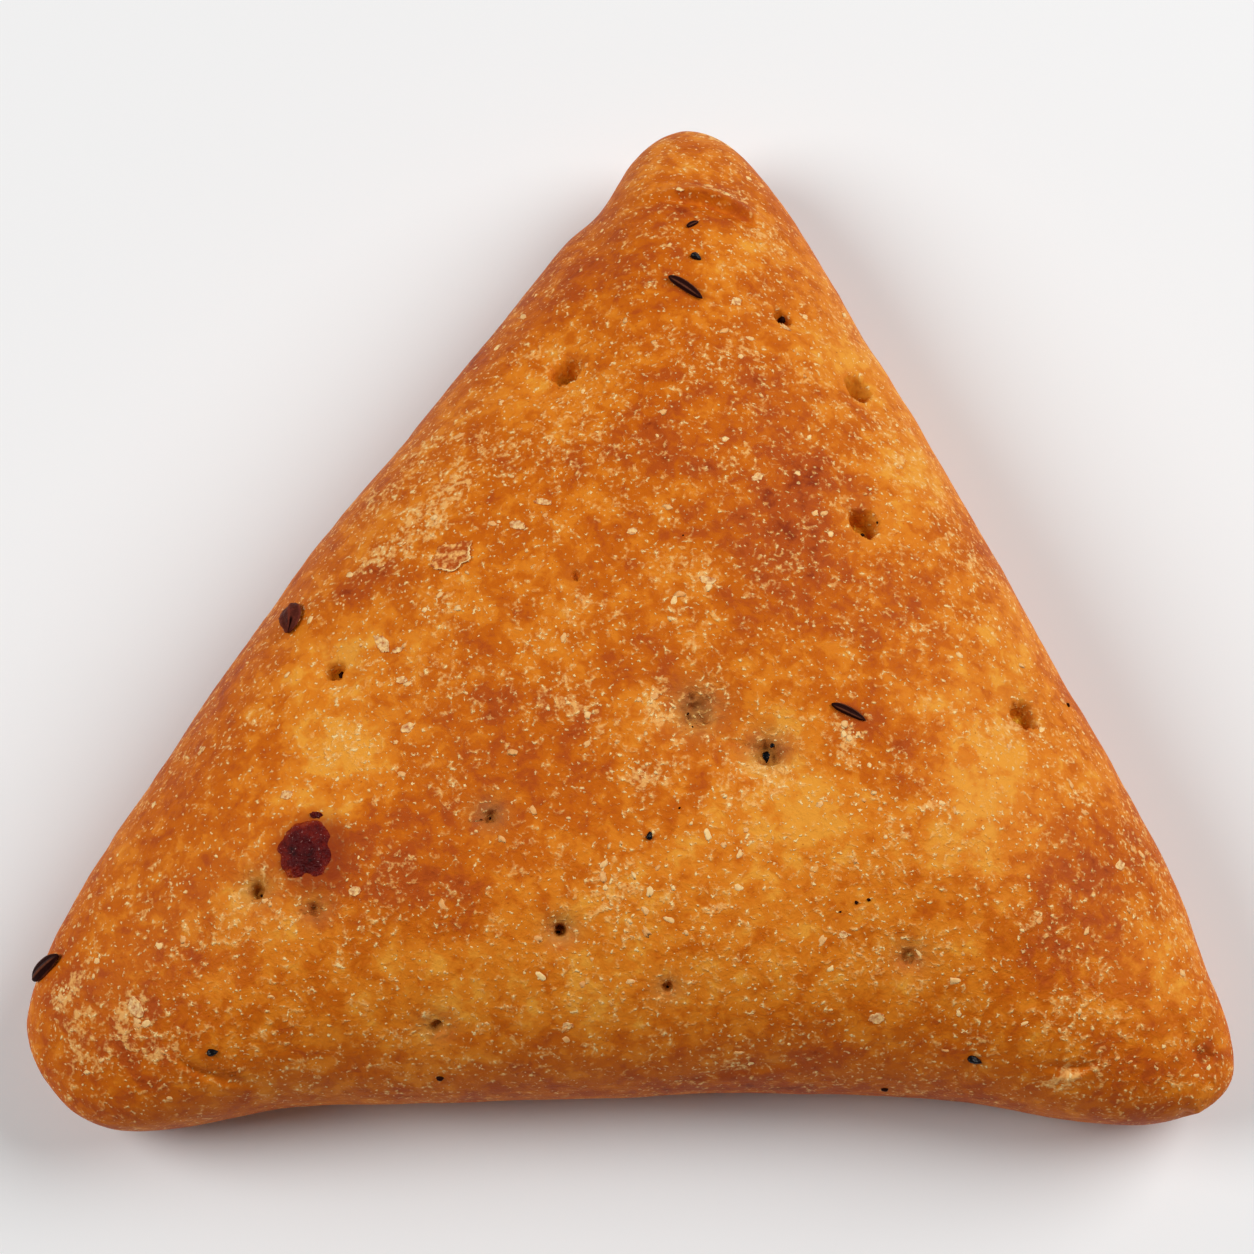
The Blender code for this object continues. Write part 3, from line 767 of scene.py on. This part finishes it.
def drape(tree, place, verts):
    """Lays flat points on the crust; each point's own Z becomes its height over the skin."""
    out = place.to_3x3().col[2]
    for vert in verts:
        flat = place @ Vector((vert.co.x, vert.co.y, 0.0))
        hit = tree.ray_cast(flat + RAY_START * out, -out)[0]
        vert.co = (hit if hit is not None else flat) + vert.co.z * out


def lay_down(form, made, tree, x, y, direction, shift=(0.0, 0.0, 0.0)):
    """Sets a shape down on the crust, shifted in its own frame, and adds it to its piece."""
    place = settle(tree, skin_frame(x, y, direction)) @ Matrix.Translation(shift)
    bmesh.ops.transform(made, matrix=place, verts=made.verts)
    add_form(form, made)


def strew(name, material, shape, entries, label=None):
    """Makes a piece of like shapes, each laid on the crust at a place of its own."""
    tree = crust_tree()
    form = form_with(label)[0] if label else bmesh.new()
    for entry in entries:
        shape(form, tree, *entry)
    new_piece(name, form, material)


def lying_ball(form, sides, rings):
    """A ball with its poles on X, to be drawn out into a seed."""
    lying = Matrix.Rotation(np.pi / 2.0, 4, "Y")
    bmesh.ops.create_uvsphere(form, u_segments=sides, v_segments=rings, radius=1.0, matrix=lying)


def place_on_ball(vert):
    """How far along X a point of a ball is, and its direction round X."""
    return vert.co.x, np.arctan2(vert.co.z, vert.co.y)


# ---- Materials ----


class Recipe:
    """Builds the nodes of one material. Patterns are read in millimetres on the piece itself."""

    def __init__(self, name):
        self.material = bpy.data.materials.new(name)
        self.material.use_nodes = True
        self.tree = self.material.node_tree
        self.shader = self.tree.nodes["Principled BSDF"]
        place = self.tree.nodes.new("ShaderNodeTexCoord")
        self.place = self.vector("SCALE", place.outputs["Object"], scale=1.0 / MILLIMETRE)

    def feed(self, socket, value):
        if isinstance(value, bpy.types.NodeSocket):
            self.tree.links.new(value, socket)
        elif value is not None:
            socket.default_value = value

    def vector(self, operation, first, second=None, scale=None):
        node = self.tree.nodes.new("ShaderNodeVectorMath")
        node.operation = operation
        self.feed(node.inputs[0], first)
        self.feed(node.inputs[1], second)
        if scale is not None:
            node.inputs["Scale"].default_value = scale
        return node.outputs[0]

    def math(self, operation, first, second):
        node = self.tree.nodes.new("ShaderNodeMath")
        node.operation = operation
        self.feed(node.inputs[0], first)
        self.feed(node.inputs[1], second)
        return node.outputs[0]

    def add(self, *values):
        total = values[0]
        for value in values[1:]:
            total = self.math("ADD", total, value)
        return total

    def times(self, first, second):
        return self.math("MULTIPLY", first, second)

    def step(self, value, low, high, to_low=0.0, to_high=1.0):
        """Smooth step from one value to another."""
        node = self.tree.nodes.new("ShaderNodeMapRange")
        node.interpolation_type = "SMOOTHSTEP"
        for socket, number in zip(node.inputs, (value, low, high, to_low, to_high)):
            self.feed(socket, number)
        return node.outputs[0]

    def attribute(self, name):
        node = self.tree.nodes.new("ShaderNodeAttribute")
        node.attribute_name = name
        return node.outputs["Fac"]

    def noise(self, spacing, detail=2.0, roughness=0.5, place=None):
        node = self.tree.nodes.new("ShaderNodeTexNoise")
        self.feed(node.inputs["Vector"], place or self.place)
        node.inputs["Scale"].default_value = 1.0 / spacing
        node.inputs["Detail"].default_value = detail
        node.inputs["Roughness"].default_value = roughness
        return node

    def ripples(self, spacing, height, detail=2.0):
        """Noise about zero with a given height."""
        waves = self.noise(spacing, detail).outputs["Fac"]
        return self.times(self.math("SUBTRACT", waves, 0.5), 2.0 * height)

    def warped(self, spacing, amount):
        """The place, pushed about so that patterns lose their roundness."""
        push = self.vector("SUBTRACT", self.noise(spacing, 0.0).outputs["Color"], (0.5, 0.5, 0.5))
        return self.vector("ADD", self.place, self.vector("SCALE", push, scale=2.0 * amount))

    def blend(self, factor, first, second, kind="MIX"):
        node = self.tree.nodes.new("ShaderNodeMix")
        node.data_type = "RGBA"
        node.blend_type = kind
        self.feed(node.inputs["Factor"], factor)
        self.feed(node.inputs[6], first)  # the node's colour sockets share their names with others
        self.feed(node.inputs[7], second)
        return node.outputs[2]

    def ramp(self, value, stops):
        node = self.tree.nodes.new("ShaderNodeValToRGB")
        node.color_ramp.interpolation = "EASE"
        self.feed(node.inputs[0], value)
        steps = node.color_ramp.elements
        steps.remove(steps[-1])
        steps[0].position, steps[0].color = stops[0]
        for position, tint in stops[1:]:
            steps.new(position).color = tint
        return node.outputs[0]

    def bump(self, height):
        """Roughens the surface by a height in millimetres."""
        node = self.tree.nodes.new("ShaderNodeBump")
        node.inputs["Distance"].default_value = MILLIMETRE
        node.inputs["Strength"].default_value = 1.0
        self.feed(node.inputs["Height"], height)
        self.feed(self.shader.inputs["Normal"], node.outputs[0])

    def finish(self, base, roughness, gloss, relief=None):
        """Gives the shader its colour, roughness, gloss and relief, and hands the material over."""
        self.feed(self.shader.inputs["Base Color"], base)
        self.feed(self.shader.inputs["Roughness"], roughness)
        self.feed(self.shader.inputs["Specular IOR Level"], gloss)
        if relief is not None:
            self.bump(relief)
        return self.material


def crust_material():
    """Baked dough: browned in patches, clouded with flour, speckled with small pale blisters that are also
    painted glints; painted shade darkens the sides and the prick holes.
    """
    made = Recipe("baked_dough")
    pushed = made.warped(1.7, 0.45)
    flour = made.attribute("flour")
    patches = made.math("SUBTRACT", made.noise(2.6, 3.0, 0.62, pushed).outputs["Fac"], 0.5)
    clouds = made.noise(0.95, 2.5, 0.62, pushed).outputs["Fac"]
    grains = made.noise(0.48, 1.0, 0.5).outputs["Fac"]

    # the browning also carries painted shade: on the sides and in a few patches
    browning = made.add(made.attribute("toast_and_shade"), made.times(patches, 1.15))
    base = made.ramp(
        browning,
        (
            (0.05, colour("pale")),
            (0.30, colour("gold")),
            (0.52, colour("amber")),
            (0.74, colour("rust")),
            (1.00, colour("umber")),
        ),
    )

    damp = made.times(made.attribute("grey"), made.step(clouds, 0.20, 0.50, 0.6, 1.0))
    base = made.blend(made.times(damp, 0.75), base, colour("ash"))

    level = made.add(clouds, made.times(patches, -0.20), made.times(flour, 0.20))
    grainy = made.times(made.math("SUBTRACT", grains, 0.5), 0.55)
    clouded = made.step(made.add(level, grainy), 0.54, 0.82)
    base = made.blend(made.times(clouded, 0.82), base, colour("flour"))
    # pale blisters, partly real and partly painted glints, fainter where the crust is browner
    specks_and_glints = made.step(made.add(grains, made.times(level, 0.18)), 0.74, 0.84)
    shown = made.times(specks_and_glints, made.step(browning, 0.25, 0.85, 1.0, 0.6))
    base = made.blend(shown, base, colour("speck_and_glint"))
    dark = made.step(grains, 0.26, 0.20)
    base = made.blend(made.times(dark, 0.45), base, colour("umber"))

    # painted shade inside the prick holes
    base = made.blend(made.attribute("hollow"), base, HOLE_SHADE_TINT, "MULTIPLY")
    base = made.blend(made.attribute("stain"), base, colour("stain"))
    relief = made.add(made.times(specks_and_glints, 0.06), made.times(clouded, 0.05), made.times(clouds, 0.22))
    return made.finish(base, 0.5, 0.05, relief)


def flake_material():
    """A thin dry flake: see-through brown in its middle and pale along its edge."""
    made = Recipe("dry_flake")
    floured = made.step(made.noise(0.6).outputs["Fac"], 0.40, 0.75)
    middle = made.blend(floured, colour("rust"), colour("flour"))
    edge = made.step(made.add(made.attribute("edge"), made.ripples(0.45, 0.5)), 0.25, 0.85)
    return made.finish(made.blend(edge, middle, colour("speck_and_glint")), 0.5, 0.05, made.ripples(0.4, 0.04))


def crumb_material():
    made = Recipe("flour_crumb")
    tone = made.add(made.attribute("tone"), made.ripples(0.4, 0.3, 1.0))
    return made.finish(made.blend(tone, colour("gold"), colour("speck_and_glint")), 0.55, 0.05)


def caraway_material():
    made = Recipe("caraway_seed")
    rib = made.add(made.attribute("rib"), made.ripples(0.5, 0.3))
    base = made.blend(made.step(rib, 0.4, 1.1), colour("caraway"), colour("caraway_rib"))
    return made.finish(base, 0.4, 0.03, made.ripples(0.25, 0.03))


def nigella_material():
    made = Recipe("nigella_seed")
    sheen = made.noise(0.5).outputs["Fac"]
    base = made.blend(sheen, colour("nigella"), NIGELLA_SHEEN)
    return made.finish(base, 0.22, 0.12, made.ripples(0.30, 0.02, 1.0))


def husk_material():
    made = Recipe("brown_husk")
    rib = made.add(made.attribute("rib"), made.ripples(0.6, 0.4, 3.0))
    base = made.blend(made.step(rib, 0.0, 0.9), colour("caraway"), colour("husk"))
    return made.finish(base, 0.45, 0.02, made.ripples(0.3, 0.05))


def filling_material():
    """Sticky berry filling: dark and red in patches, redder towards its rim and its right side."""
    made = Recipe("berry_filling")
    tone = made.add(made.noise(1.4, 3.0, 0.6).outputs["Fac"], made.times(made.attribute("thin"), 0.50))
    base = made.ramp(
        tone,
        (
            (0.30, FILLING_DEEP),
            (0.50, colour("maroon")),
            (0.75, FILLING_BRIGHT),
            (1.00, FILLING_THIN),
        ),
    )
    glints = made.step(made.noise(0.33, 1.0).outputs["Fac"], 0.67, 0.77)
    base = made.blend(made.times(glints, 0.45), base, FILLING_GLINT)
    return made.finish(base, 0.25, 0.12, made.ripples(0.32, 0.20, 3.0))


def plain_material(name, tint, roughness):
    return Recipe(name).finish(tint, roughness, 0.03)


# ---- The pieces ----


def near_features(points, reach):
    """Which points lie on small features, where the crust needs a finer mesh."""
    near = np.zeros(len(points), dtype=bool)
    for x, y, radius, _, _, _ in PRICKS:
        near |= np.linalg.norm(points - skin_point(x, y), axis=1) < 1.1 * radius * reach + 0.5 * reach
    for places, width, _, _, _ in FOLDS:
        near |= distance_to(points, fold_path(places))[0] < 0.9 * width * reach
    return near


def refine(form, chosen):
    """Halves every edge whose two ends are chosen."""
    edges = [edge for edge in form.edges if all(chosen[vert.index] for vert in edge.verts)]
    bmesh.ops.subdivide_edges(form, edges=edges, cuts=1, use_grid_fill=True)
    form.verts.index_update()


def upper_points(form):
    """Where the points of the upper grid lie on the smooth skin, and how far they have fallen."""
    out, direction = disc_of(co_of(form))
    fall = np.interp(out, (0.0, RIM_PLACE, 1.0), (0.0, RIM_FALL, FOOT_FALL))
    return skin(direction, fall), fall


def upper_skin(form):
    """The top, the rim and the side down to the foot, from one grid. Gives what its colours need."""
    cuts = bpy.context.scene.fatayer_sizes.upper_cuts
    bmesh.ops.create_grid(form, x_segments=cuts, y_segments=cuts, size=1.0)
    for reach in FINER_REACHES:
        form.verts.index_update()
        refine(form, near_features(upper_points(form)[0], reach))

    points, fall = upper_points(form)
    place_points(form.verts, points)
    form.normal_update()
    normals = np.array([vert.normal for vert in form.verts], dtype=float)
    depth, hollow, grey = prick_shape(points)
    rise = ripple(points, UNEVENNESS) - depth - fold_depth(points)
    rise *= np.interp(fall, (RIM_FALL, 150.0), (1.0, 0.0))
    place_points(form.verts, points + normals * rise[:, None])
    return fall, hollow, grey


def lower_skin():
    """The flat base with its folded seams, as a form of its own."""
    form = bmesh.new()
    cuts = bpy.context.scene.fatayer_sizes.lower_cuts
    bmesh.ops.create_grid(form, x_segments=cuts, y_segments=cuts, size=1.0)
    border = [edge for edge in form.edges if edge.is_boundary]
    each = bpy.context.scene.fatayer_sizes.upper_cuts // cuts - 1
    bmesh.ops.subdivide_edges(form, edges=border, cuts=each)
    out, direction = disc_of(co_of(form))
    reach = bpy.context.scene.fatayer_sizes.foot_share * out * outline_reach(direction)
    places = np.stack((reach * np.cos(direction), reach * np.sin(direction)), axis=-1) + MIDDLE
    inside = out < GRID_BORDER
    place_points(form.verts, np.column_stack((places, seam_rise(places) * inside)))
    bmesh.ops.reverse_faces(form, faces=form.faces)
    return form


def crust_colours(points, fall, hollow, grey):
    """How each point of the crust is browned, floured, damp or stained, and where painted shade darkens it:
    on the sides and in the prick holes.
    """
    toast_and_shade = BASE_TOAST + ripple(points, TOAST_RIPPLES, 3.0)
    push = [ripple(points, PATCH_PUSH, shift) for shift in (20.0, 30.0)]
    pushed = points + np.stack((*push, np.zeros(len(points))), axis=-1)
    for x, y, reach_x, reach_y, strength in BROWNING_AND_SHADE:
        toast_and_shade += PATCH_TOAST * strength * spread_over(pushed, x, y, reach_x, reach_y)
    flour = ripple(points, FLOUR_RIPPLES, 8.0)
    for x, y, along, across, direction, strength in FLOUR:
        flour += strength * spread_over(pushed, x, y, along, across, direction, FLOUR_EDGE)
    # Painted shade darkens the sides through their browning; the dough inside the holes is paler
    toast_and_shade += SIDE_SHADE * np.interp(fall, SIDE_SHADE_FALLS, (0.0, 1.0)) + HOLLOW_TOAST * hollow
    apart = np.linalg.norm(points - skin_point(*STAIN_PLACE), axis=1)
    under = points[:, 2] < FOOT_EDGE
    return {
        "toast_and_shade": np.where(under, FOOT_TOAST, toast_and_shade),
        "flour": np.where(under, FOOT_FLOUR, np.clip(flour, -0.5, 2.0)),
        "hollow": np.clip(hollow, 0.0, 1.0),
        "grey": np.clip(grey, 0.0, 1.0),
        "stain": 0.8 * np.exp(-((apart / STAIN_REACH) ** 5)),
    }


def make_crust():
    """The whole crust: the upper skin and the base, sewn together at the foot."""
    form = bmesh.new()
    traits = dict(zip(("fall", "hollow", "grey"), upper_skin(form)))
    # The values lie on the points while the skins are sewn, because sewing renumbers the points
    for label, values in traits.items():
        layer = form.verts.layers.float.new(label)
        for vert, value in zip(form.verts, values):
            vert[layer] = value
    upper_count = len(form.verts)
    add_form(form, lower_skin())
    form.verts.ensure_lookup_table()
    layer = form.verts.layers.float["fall"]
    for vert in form.verts[upper_count:]:
        vert[layer] = FOOT_FALL
    bmesh.ops.remove_doubles(form, verts=form.verts, dist=SEWING_DISTANCE)
    open_edges = [edge for edge in form.edges if not edge.is_manifold]
    if open_edges:
        raise RuntimeError(f"the crust is open along {len(open_edges)} edges")
    for label in traits:
        layer = form.verts.layers.float[label]
        traits[label] = np.array([vert[layer] for vert in form.verts])
        form.verts.layers.float.remove(layer)
    marks = crust_colours(co_of(form), **traits)
    piece = new_piece("baked_crust", form, crust_material(), marks)
    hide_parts("crust")


def flake(form, tree, x, y, length, width, direction, curl):
    """One thin flake: a ragged disc laid on the crust, its edge lifted a little."""
    made, layer = form_with("edge")
    cells = 30 if length > BARE_FLAKE else 14
    bmesh.ops.create_grid(made, x_segments=cells, y_segments=cells, size=1.0)
    out, turn = disc_of(co_of(made))
    for vert, share, angle in zip(made.verts, out, turn):
        around = Vector((np.cos(angle), np.sin(angle), 0.0))
        ragged = 1.0
        for (often, much), shift in zip(FLAKE_RAGS, ((x, 0.0, y), (0.0, x, y), (y, x, 0.0))):
            ragged += much * noise.noise(around * often + Vector(shift))
        reach = share * ragged
        facing = 0.5 + 0.7 * np.cos(angle + np.radians(direction + 50.0))  # 1 at its front right edge
        lift = 0.03 + curl * share**6 * max(facing, 0.0) + 0.05 * noise.noise(around * share * 4.0)
        vert.co = (reach * length / 2.0 * np.cos(angle), reach * width / 2.0 * np.sin(angle), lift)
        vert[layer] = share**7 * np.clip(facing, 0.1, 1.0) if length > BARE_FLAKE else 0.55
    place = settle(tree, skin_frame(x, y, direction))
    drape(tree, place, made.verts)
    made.normal_update()
    bmesh.ops.solidify(made, geom=made.faces, thickness=FLAKE_THICKNESS)
    bmesh.ops.recalc_face_normals(made, faces=made.faces)
    add_form(form, made)


def make_crumbs():
    """Pale crumbs of flour baked onto the crust, more of them where the flour lies."""
    tree = crust_tree()
    draw = np.random.default_rng(CRUMB_SEED)
    form, _ = form_with("tone")
    narrowest, widest = CRUMB_WIDTHS
    for _ in range(bpy.context.scene.fatayer_sizes.crumbs):
        if draw.random() < FLOURED_SHARE:
            x, y, along, across, direction, _ = FLOUR[draw.integers(len(FLOUR))]
            turn = np.radians(direction)
            ahead, aside = draw.normal(0.0, along * 0.7), draw.normal(0.0, across * 0.7)
            x += ahead * np.cos(turn) - aside * np.sin(turn)
            y += ahead * np.sin(turn) + aside * np.cos(turn)
        else:
            angle = draw.uniform(-np.pi, np.pi)
            reach = outline_reach(angle) * np.sqrt(draw.random())
            x, y = MIDDLE[0] + reach * np.cos(angle), MIDDLE[1] + reach * np.sin(angle)
        away = np.hypot(x - MIDDLE[0], y - MIDDLE[1])
        width = narrowest + (widest - narrowest) * draw.random() ** CRUMB_RARITY
        stretch = draw.uniform(*CRUMB_STRETCH)
        tone = draw.uniform(*CRUMB_TONES)
        direction = draw.uniform(0.0, 360.0)
        if away > CRUMB_LIMIT * outline_reach(np.arctan2(y - MIDDLE[1], x - MIDDLE[0])):
            continue
        made, layer = form_with("tone")
        bmesh.ops.create_icosphere(made, subdivisions=2 if width > WIDE_CRUMB else 1, radius=0.5)
        for vert in made.verts:
            vert[layer] = tone
            vert.co *= 1.0 + 0.8 * noise.noise(vert.co * 2.6 + Vector((x, y, 0.0)))
        bmesh.ops.scale(made, vec=Vector((width * stretch, width, 0.07 + 0.06 * width)), verts=made.verts)
        lay_down(form, made, tree, x, y, direction)
    new_piece("flour_crumbs", form, crumb_material())


def caraway(form, tree, x, y, direction, length, width, height):
    """One caraway seed: a slightly bent spindle with ribs, a groove on top and one thicker end."""
    made, layer = form_with("rib")
    lying_ball(made, 36, 24)
    for vert in made.verts:
        along, around = place_on_ball(vert)
        reach = (1.0 - abs(along) ** 2.6) ** 0.7
        crest = abs(np.sin(CARAWAY_RIBS * (around - np.pi / 2.0) / 2.0)) ** 4
        groove = np.exp(-(((around - np.pi / 2.0) / 0.22) ** 2)) * (1.0 - along**4)
        reach *= 0.86 + 0.14 * crest - 0.22 * groove
        reach *= 1.0 - 0.15 * along
        vert[layer] = crest * (1.0 - abs(along) ** 6)
        across = reach * np.cos(around) * width / 2.0 + CARAWAY_BEND * (1.0 - along**2) * width
        vert.co = (along * length / 2.0, across, reach * np.sin(around) * height / 2.0)
    lay_down(form, made, tree, x, y, direction, (0.0, -CARAWAY_BEND * width * 0.6, 0.24 * height))


def nigella(form, tree, number, x, y, direction, length, width, height):
    """One nigella seed: three-sided, wrinkled and drawn out to a point at one end."""
    made = bmesh.new()
    bmesh.ops.create_icosphere(made, subdivisions=4, radius=1.0)
    for vert in made.verts:
        along, around = place_on_ball(vert)
        reach = 1.0 - 0.45 * along
        reach *= 1.0 + 0.14 * np.cos(3.0 * around + number)
        reach *= 1.0 + 0.12 * noise.noise(vert.co * 2.2 + Vector((number, 0.0, 0.0)))
        aside, up = vert.co.y * reach, vert.co.z * reach
        vert.co = (along * length / 2.0, aside * width / 2.0, up * height / 2.0)
    lay_down(form, made, tree, x, y, direction, (0.0, 0.0, 0.2 * height))


def husk(form, tree, x, y, direction, length, width, height):
    """A piece of brown husk: an angular pod, pointed at its top and split at its lower end."""
    made, layer = form_with("rib")
    lying_ball(made, 60, 40)
    facet = 2.0 * np.pi / HUSK_SIDES
    for vert in made.verts:
        along, around = place_on_ball(vert)
        turned = (around + 0.35 * along) % facet - facet / 2.0
        angular = np.cos(facet / 2.0) / np.cos(turned)
        reach = (1.0 - abs(along) ** 2.0) ** 0.62 * (1.0 - 0.10 * along) * angular**1.6
        split = np.exp(-(((around - 0.9) / 0.16) ** 2)) * smooth((along - 0.1) / 0.4)
        reach *= 1.2 - 0.6 * split
        reach *= 1.0 + 0.14 * noise.noise(vert.co * 2.2)
        ridge = np.exp(-(((abs(turned) - facet / 2.0) / 0.12) ** 2))
        vert[layer] = np.clip(0.45 + 0.6 * ridge - split, 0.0, 1.0)
        aside, up = reach * np.cos(around), reach * np.sin(around)
        vert.co = (along * length / 2.0, aside * width / 2.0, up * height / 2.0)
    lay_down(form, made, tree, x, y, direction, (0.0, 0.0, 0.25 * height))


def burnt_crumb(form, tree, x, y, width):
    made = bmesh.new()
    bmesh.ops.create_icosphere(made, subdivisions=2, radius=0.5)
    for vert in made.verts:
        vert.co *= 1.0 + 0.35 * noise.noise(vert.co * 3.0 + Vector((x, y, 0.0)))
    bmesh.ops.scale(made, vec=Vector((width, width * 0.8, width * 0.8)), verts=made.verts)
    lay_down(form, made, tree, x, y, 40.0 * x)  # each is turned another way


def drop(form, tree, x, y, direction, length, width, height):
    """A small drop of filling behind the leak."""
    made = bmesh.new()
    bmesh.ops.create_icosphere(made, subdivisions=4, radius=0.5)
    for vert in made.verts:
        vert.co *= 1.0 + 0.25 * noise.noise(vert.co * 4.0)
    bmesh.ops.scale(made, vec=Vector((length, width, height)), verts=made.verts)
    lay_down(form, made, tree, x, y, direction)


def make_leak():
    """The leaked filling: a lumpy blob, thin towards its rim."""
    form, layer = form_with("thin")
    bmesh.ops.create_icosphere(form, subdivisions=5, radius=0.5)
    for vert in form.verts:
        vert[layer] = np.hypot(vert.co.x, vert.co.y) ** 4 * 16.0 + 0.5 * max(vert.co.x, 0.0)
    extent = Vector((size("leak_width"), size("leak_depth"), size("leak_height")))
    bmesh.ops.scale(form, vec=extent, verts=form.verts)
    form.normal_update()
    for vert in form.verts:
        lump = sum(height * noise.noise(vert.co / spacing) for spacing, height in LEAK_LUMPS)
        vert.co += vert.normal * lump
    place = skin_frame(*LEAK_PLACE, 0.0) @ Matrix.Translation((0.0, 0.0, -size("leak_sink")))
    bmesh.ops.transform(form, matrix=place, verts=form.verts)
    piece = new_piece("leaked_filling", form, filling_material())
    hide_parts("filling_leak")


# ---- The stage ----


def area_light(name, place, width, power):
    light = bpy.data.lights.new(name, "AREA")
    light.shape = "DISK"
    light.size = width
    light.energy = power
    lamp = bpy.data.objects.new(name, light)
    lamp.location = place
    lamp.rotation_euler = (Vector(LOOK_AT) - Vector(place)).to_track_quat("-Z", "Y").to_euler()
    bpy.context.scene.collection.objects.link(lamp)


def make_floor(width):
    form = bmesh.new()
    bmesh.ops.create_grid(form, x_segments=1, y_segments=1, size=width / 2.0)
    mesh = bpy.data.meshes.new("floor")
    form.to_mesh(mesh)
    form.free()
    mesh.materials.append(plain_material("pale_floor", colour("floor"), 0.9))
    floor = bpy.data.objects.new("floor", mesh)
    bpy.context.scene.collection.objects.link(floor)


def make_camera(stage):
    lens = bpy.data.cameras.new("camera")
    lens.lens = stage.focal_length
    lens.sensor_width = SENSOR_WIDTH
    camera = bpy.data.objects.new("camera", lens)
    back = Vector((0.0, -np.cos(stage.elevation), np.sin(stage.elevation)))
    camera.location = Vector(LOOK_AT) + stage.distance * back
    camera.rotation_euler = (np.pi / 2.0 - stage.elevation, 0.0, 0.0)
    bpy.context.scene.collection.objects.link(camera)
    bpy.context.scene.camera = camera


def make_world(strength):
    world = bpy.data.worlds.new("soft_sky")
    world.use_nodes = True
    sky = world.node_tree.nodes["Background"]
    sky.inputs["Color"].default_value = (1.0, 1.0, 1.0, 1.0)
    sky.inputs["Strength"].default_value = strength
    bpy.context.scene.world = world


# ---- The operators: one for each piece or group of like pieces, and one for the stage ----


class FATAYER_OT_crust(bpy.types.Operator):
    """Bake the crust, with its prick holes, folds and browning"""

    bl_idname = "fatayer.crust"
    bl_label = "Crust"

    def execute(self, context):
        make_crust()
        return {"FINISHED"}


class FATAYER_OT_flakes(bpy.types.Operator):
    """Lay thin flakes of dry dough on the crust"""

    bl_idname = "fatayer.flakes"
    bl_label = "Dough flakes"

    def execute(self, context):
        strew("dough_flakes", flake_material(), flake, FLAKES, "edge")
        return {"FINISHED"}


class FATAYER_OT_crumbs(bpy.types.Operator):
    """Scatter pale flour crumbs and a few burnt ones over the crust"""

    bl_idname = "fatayer.crumbs"
    bl_label = "Crumbs"

    def execute(self, context):
        make_crumbs()
        burnt = plain_material("scorched_crumb", colour("scorched"), 0.5)
        strew("scorched_crumbs", burnt, burnt_crumb, SCORCHED)
        return {"FINISHED"}


class FATAYER_OT_seeds(bpy.types.Operator):
    """Set the caraway and nigella seeds and the piece of husk on the crust"""

    bl_idname = "fatayer.seeds"
    bl_label = "Seeds"

    def execute(self, context):
        strew("caraway_seeds", caraway_material(), caraway, CARAWAYS, "rib")
        numbered = [(number, *seed) for number, seed in enumerate(NIGELLAS)]
        strew("nigella_seeds", nigella_material(), nigella, numbered)
        strew("husk_piece", husk_material(), husk, [HUSK], "rib")
        return {"FINISHED"}


class FATAYER_OT_filling(bpy.types.Operator):
    """Let a little berry filling break through the crust"""

    bl_idname = "fatayer.filling"
    bl_label = "Leaked filling"

    def execute(self, context):
        make_leak()
        strew("filling_drop", bpy.data.materials["berry_filling"], drop, [DROP])
        return {"FINISHED"}


class FATAYER_OT_stage(bpy.types.Operator):
    """Set the floor, the lights and the camera"""

    bl_idname = "fatayer.stage"
    bl_label = "Stage"

    def execute(self, context):
        stage = context.scene.fatayer_stage
        make_floor(stage.floor_width)
        make_world(stage.sky)
        area_light("key_light", KEY_PLACE, KEY_WIDTH, stage.key_power)
        area_light("fill_light", FILL_PLACE, FILL_WIDTH, stage.fill_power)
        make_camera(stage)
        context.scene.view_settings.view_transform = "Standard"
        return {"FINISHED"}


OPERATORS = (
    FATAYER_OT_crust,
    FATAYER_OT_flakes,
    FATAYER_OT_crumbs,
    FATAYER_OT_seeds,
    FATAYER_OT_filling,
    FATAYER_OT_stage,
)


class FATAYER_PT_panel(bpy.types.Panel):
    """The pastry's pieces, sizes and colours"""

    bl_idname = "FATAYER_PT_panel"
    bl_label = "Fatayer"
    bl_space_type = "VIEW_3D"
    bl_region_type = "UI"
    bl_category = "Fatayer"

    def draw(self, context):
        for operator in OPERATORS:
            self.layout.operator(operator.bl_idname)
        for group_name in GROUPS:
            group = getattr(context.scene, group_name)
            box = self.layout.box()
            for name in group.__annotations__:
                box.prop(group, name)


GROUPS = {
    "fatayer_sizes": FatayerSizes,
    "fatayer_colours": FatayerColours,
    "fatayer_stage": FatayerStage,
}


def register():
    for made in (*GROUPS.values(), *OPERATORS, FATAYER_PT_panel):
        bpy.utils.register_class(made)
    for name, group in GROUPS.items():
        setattr(bpy.types.Scene, name, PointerProperty(type=group))


def unregister():
    for name in GROUPS:
        delattr(bpy.types.Scene, name)
    for made in (FATAYER_PT_panel, *reversed(OPERATORS), *reversed(GROUPS.values())):
        bpy.utils.unregister_class(made)


def main():
    register()
    bpy.ops.fatayer.crust()
    bpy.ops.fatayer.flakes()
    bpy.ops.fatayer.crumbs()
    bpy.ops.fatayer.seeds()
    bpy.ops.fatayer.filling()
    bpy.ops.fatayer.stage()
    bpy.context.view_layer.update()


if __name__ == "__main__":
    main()
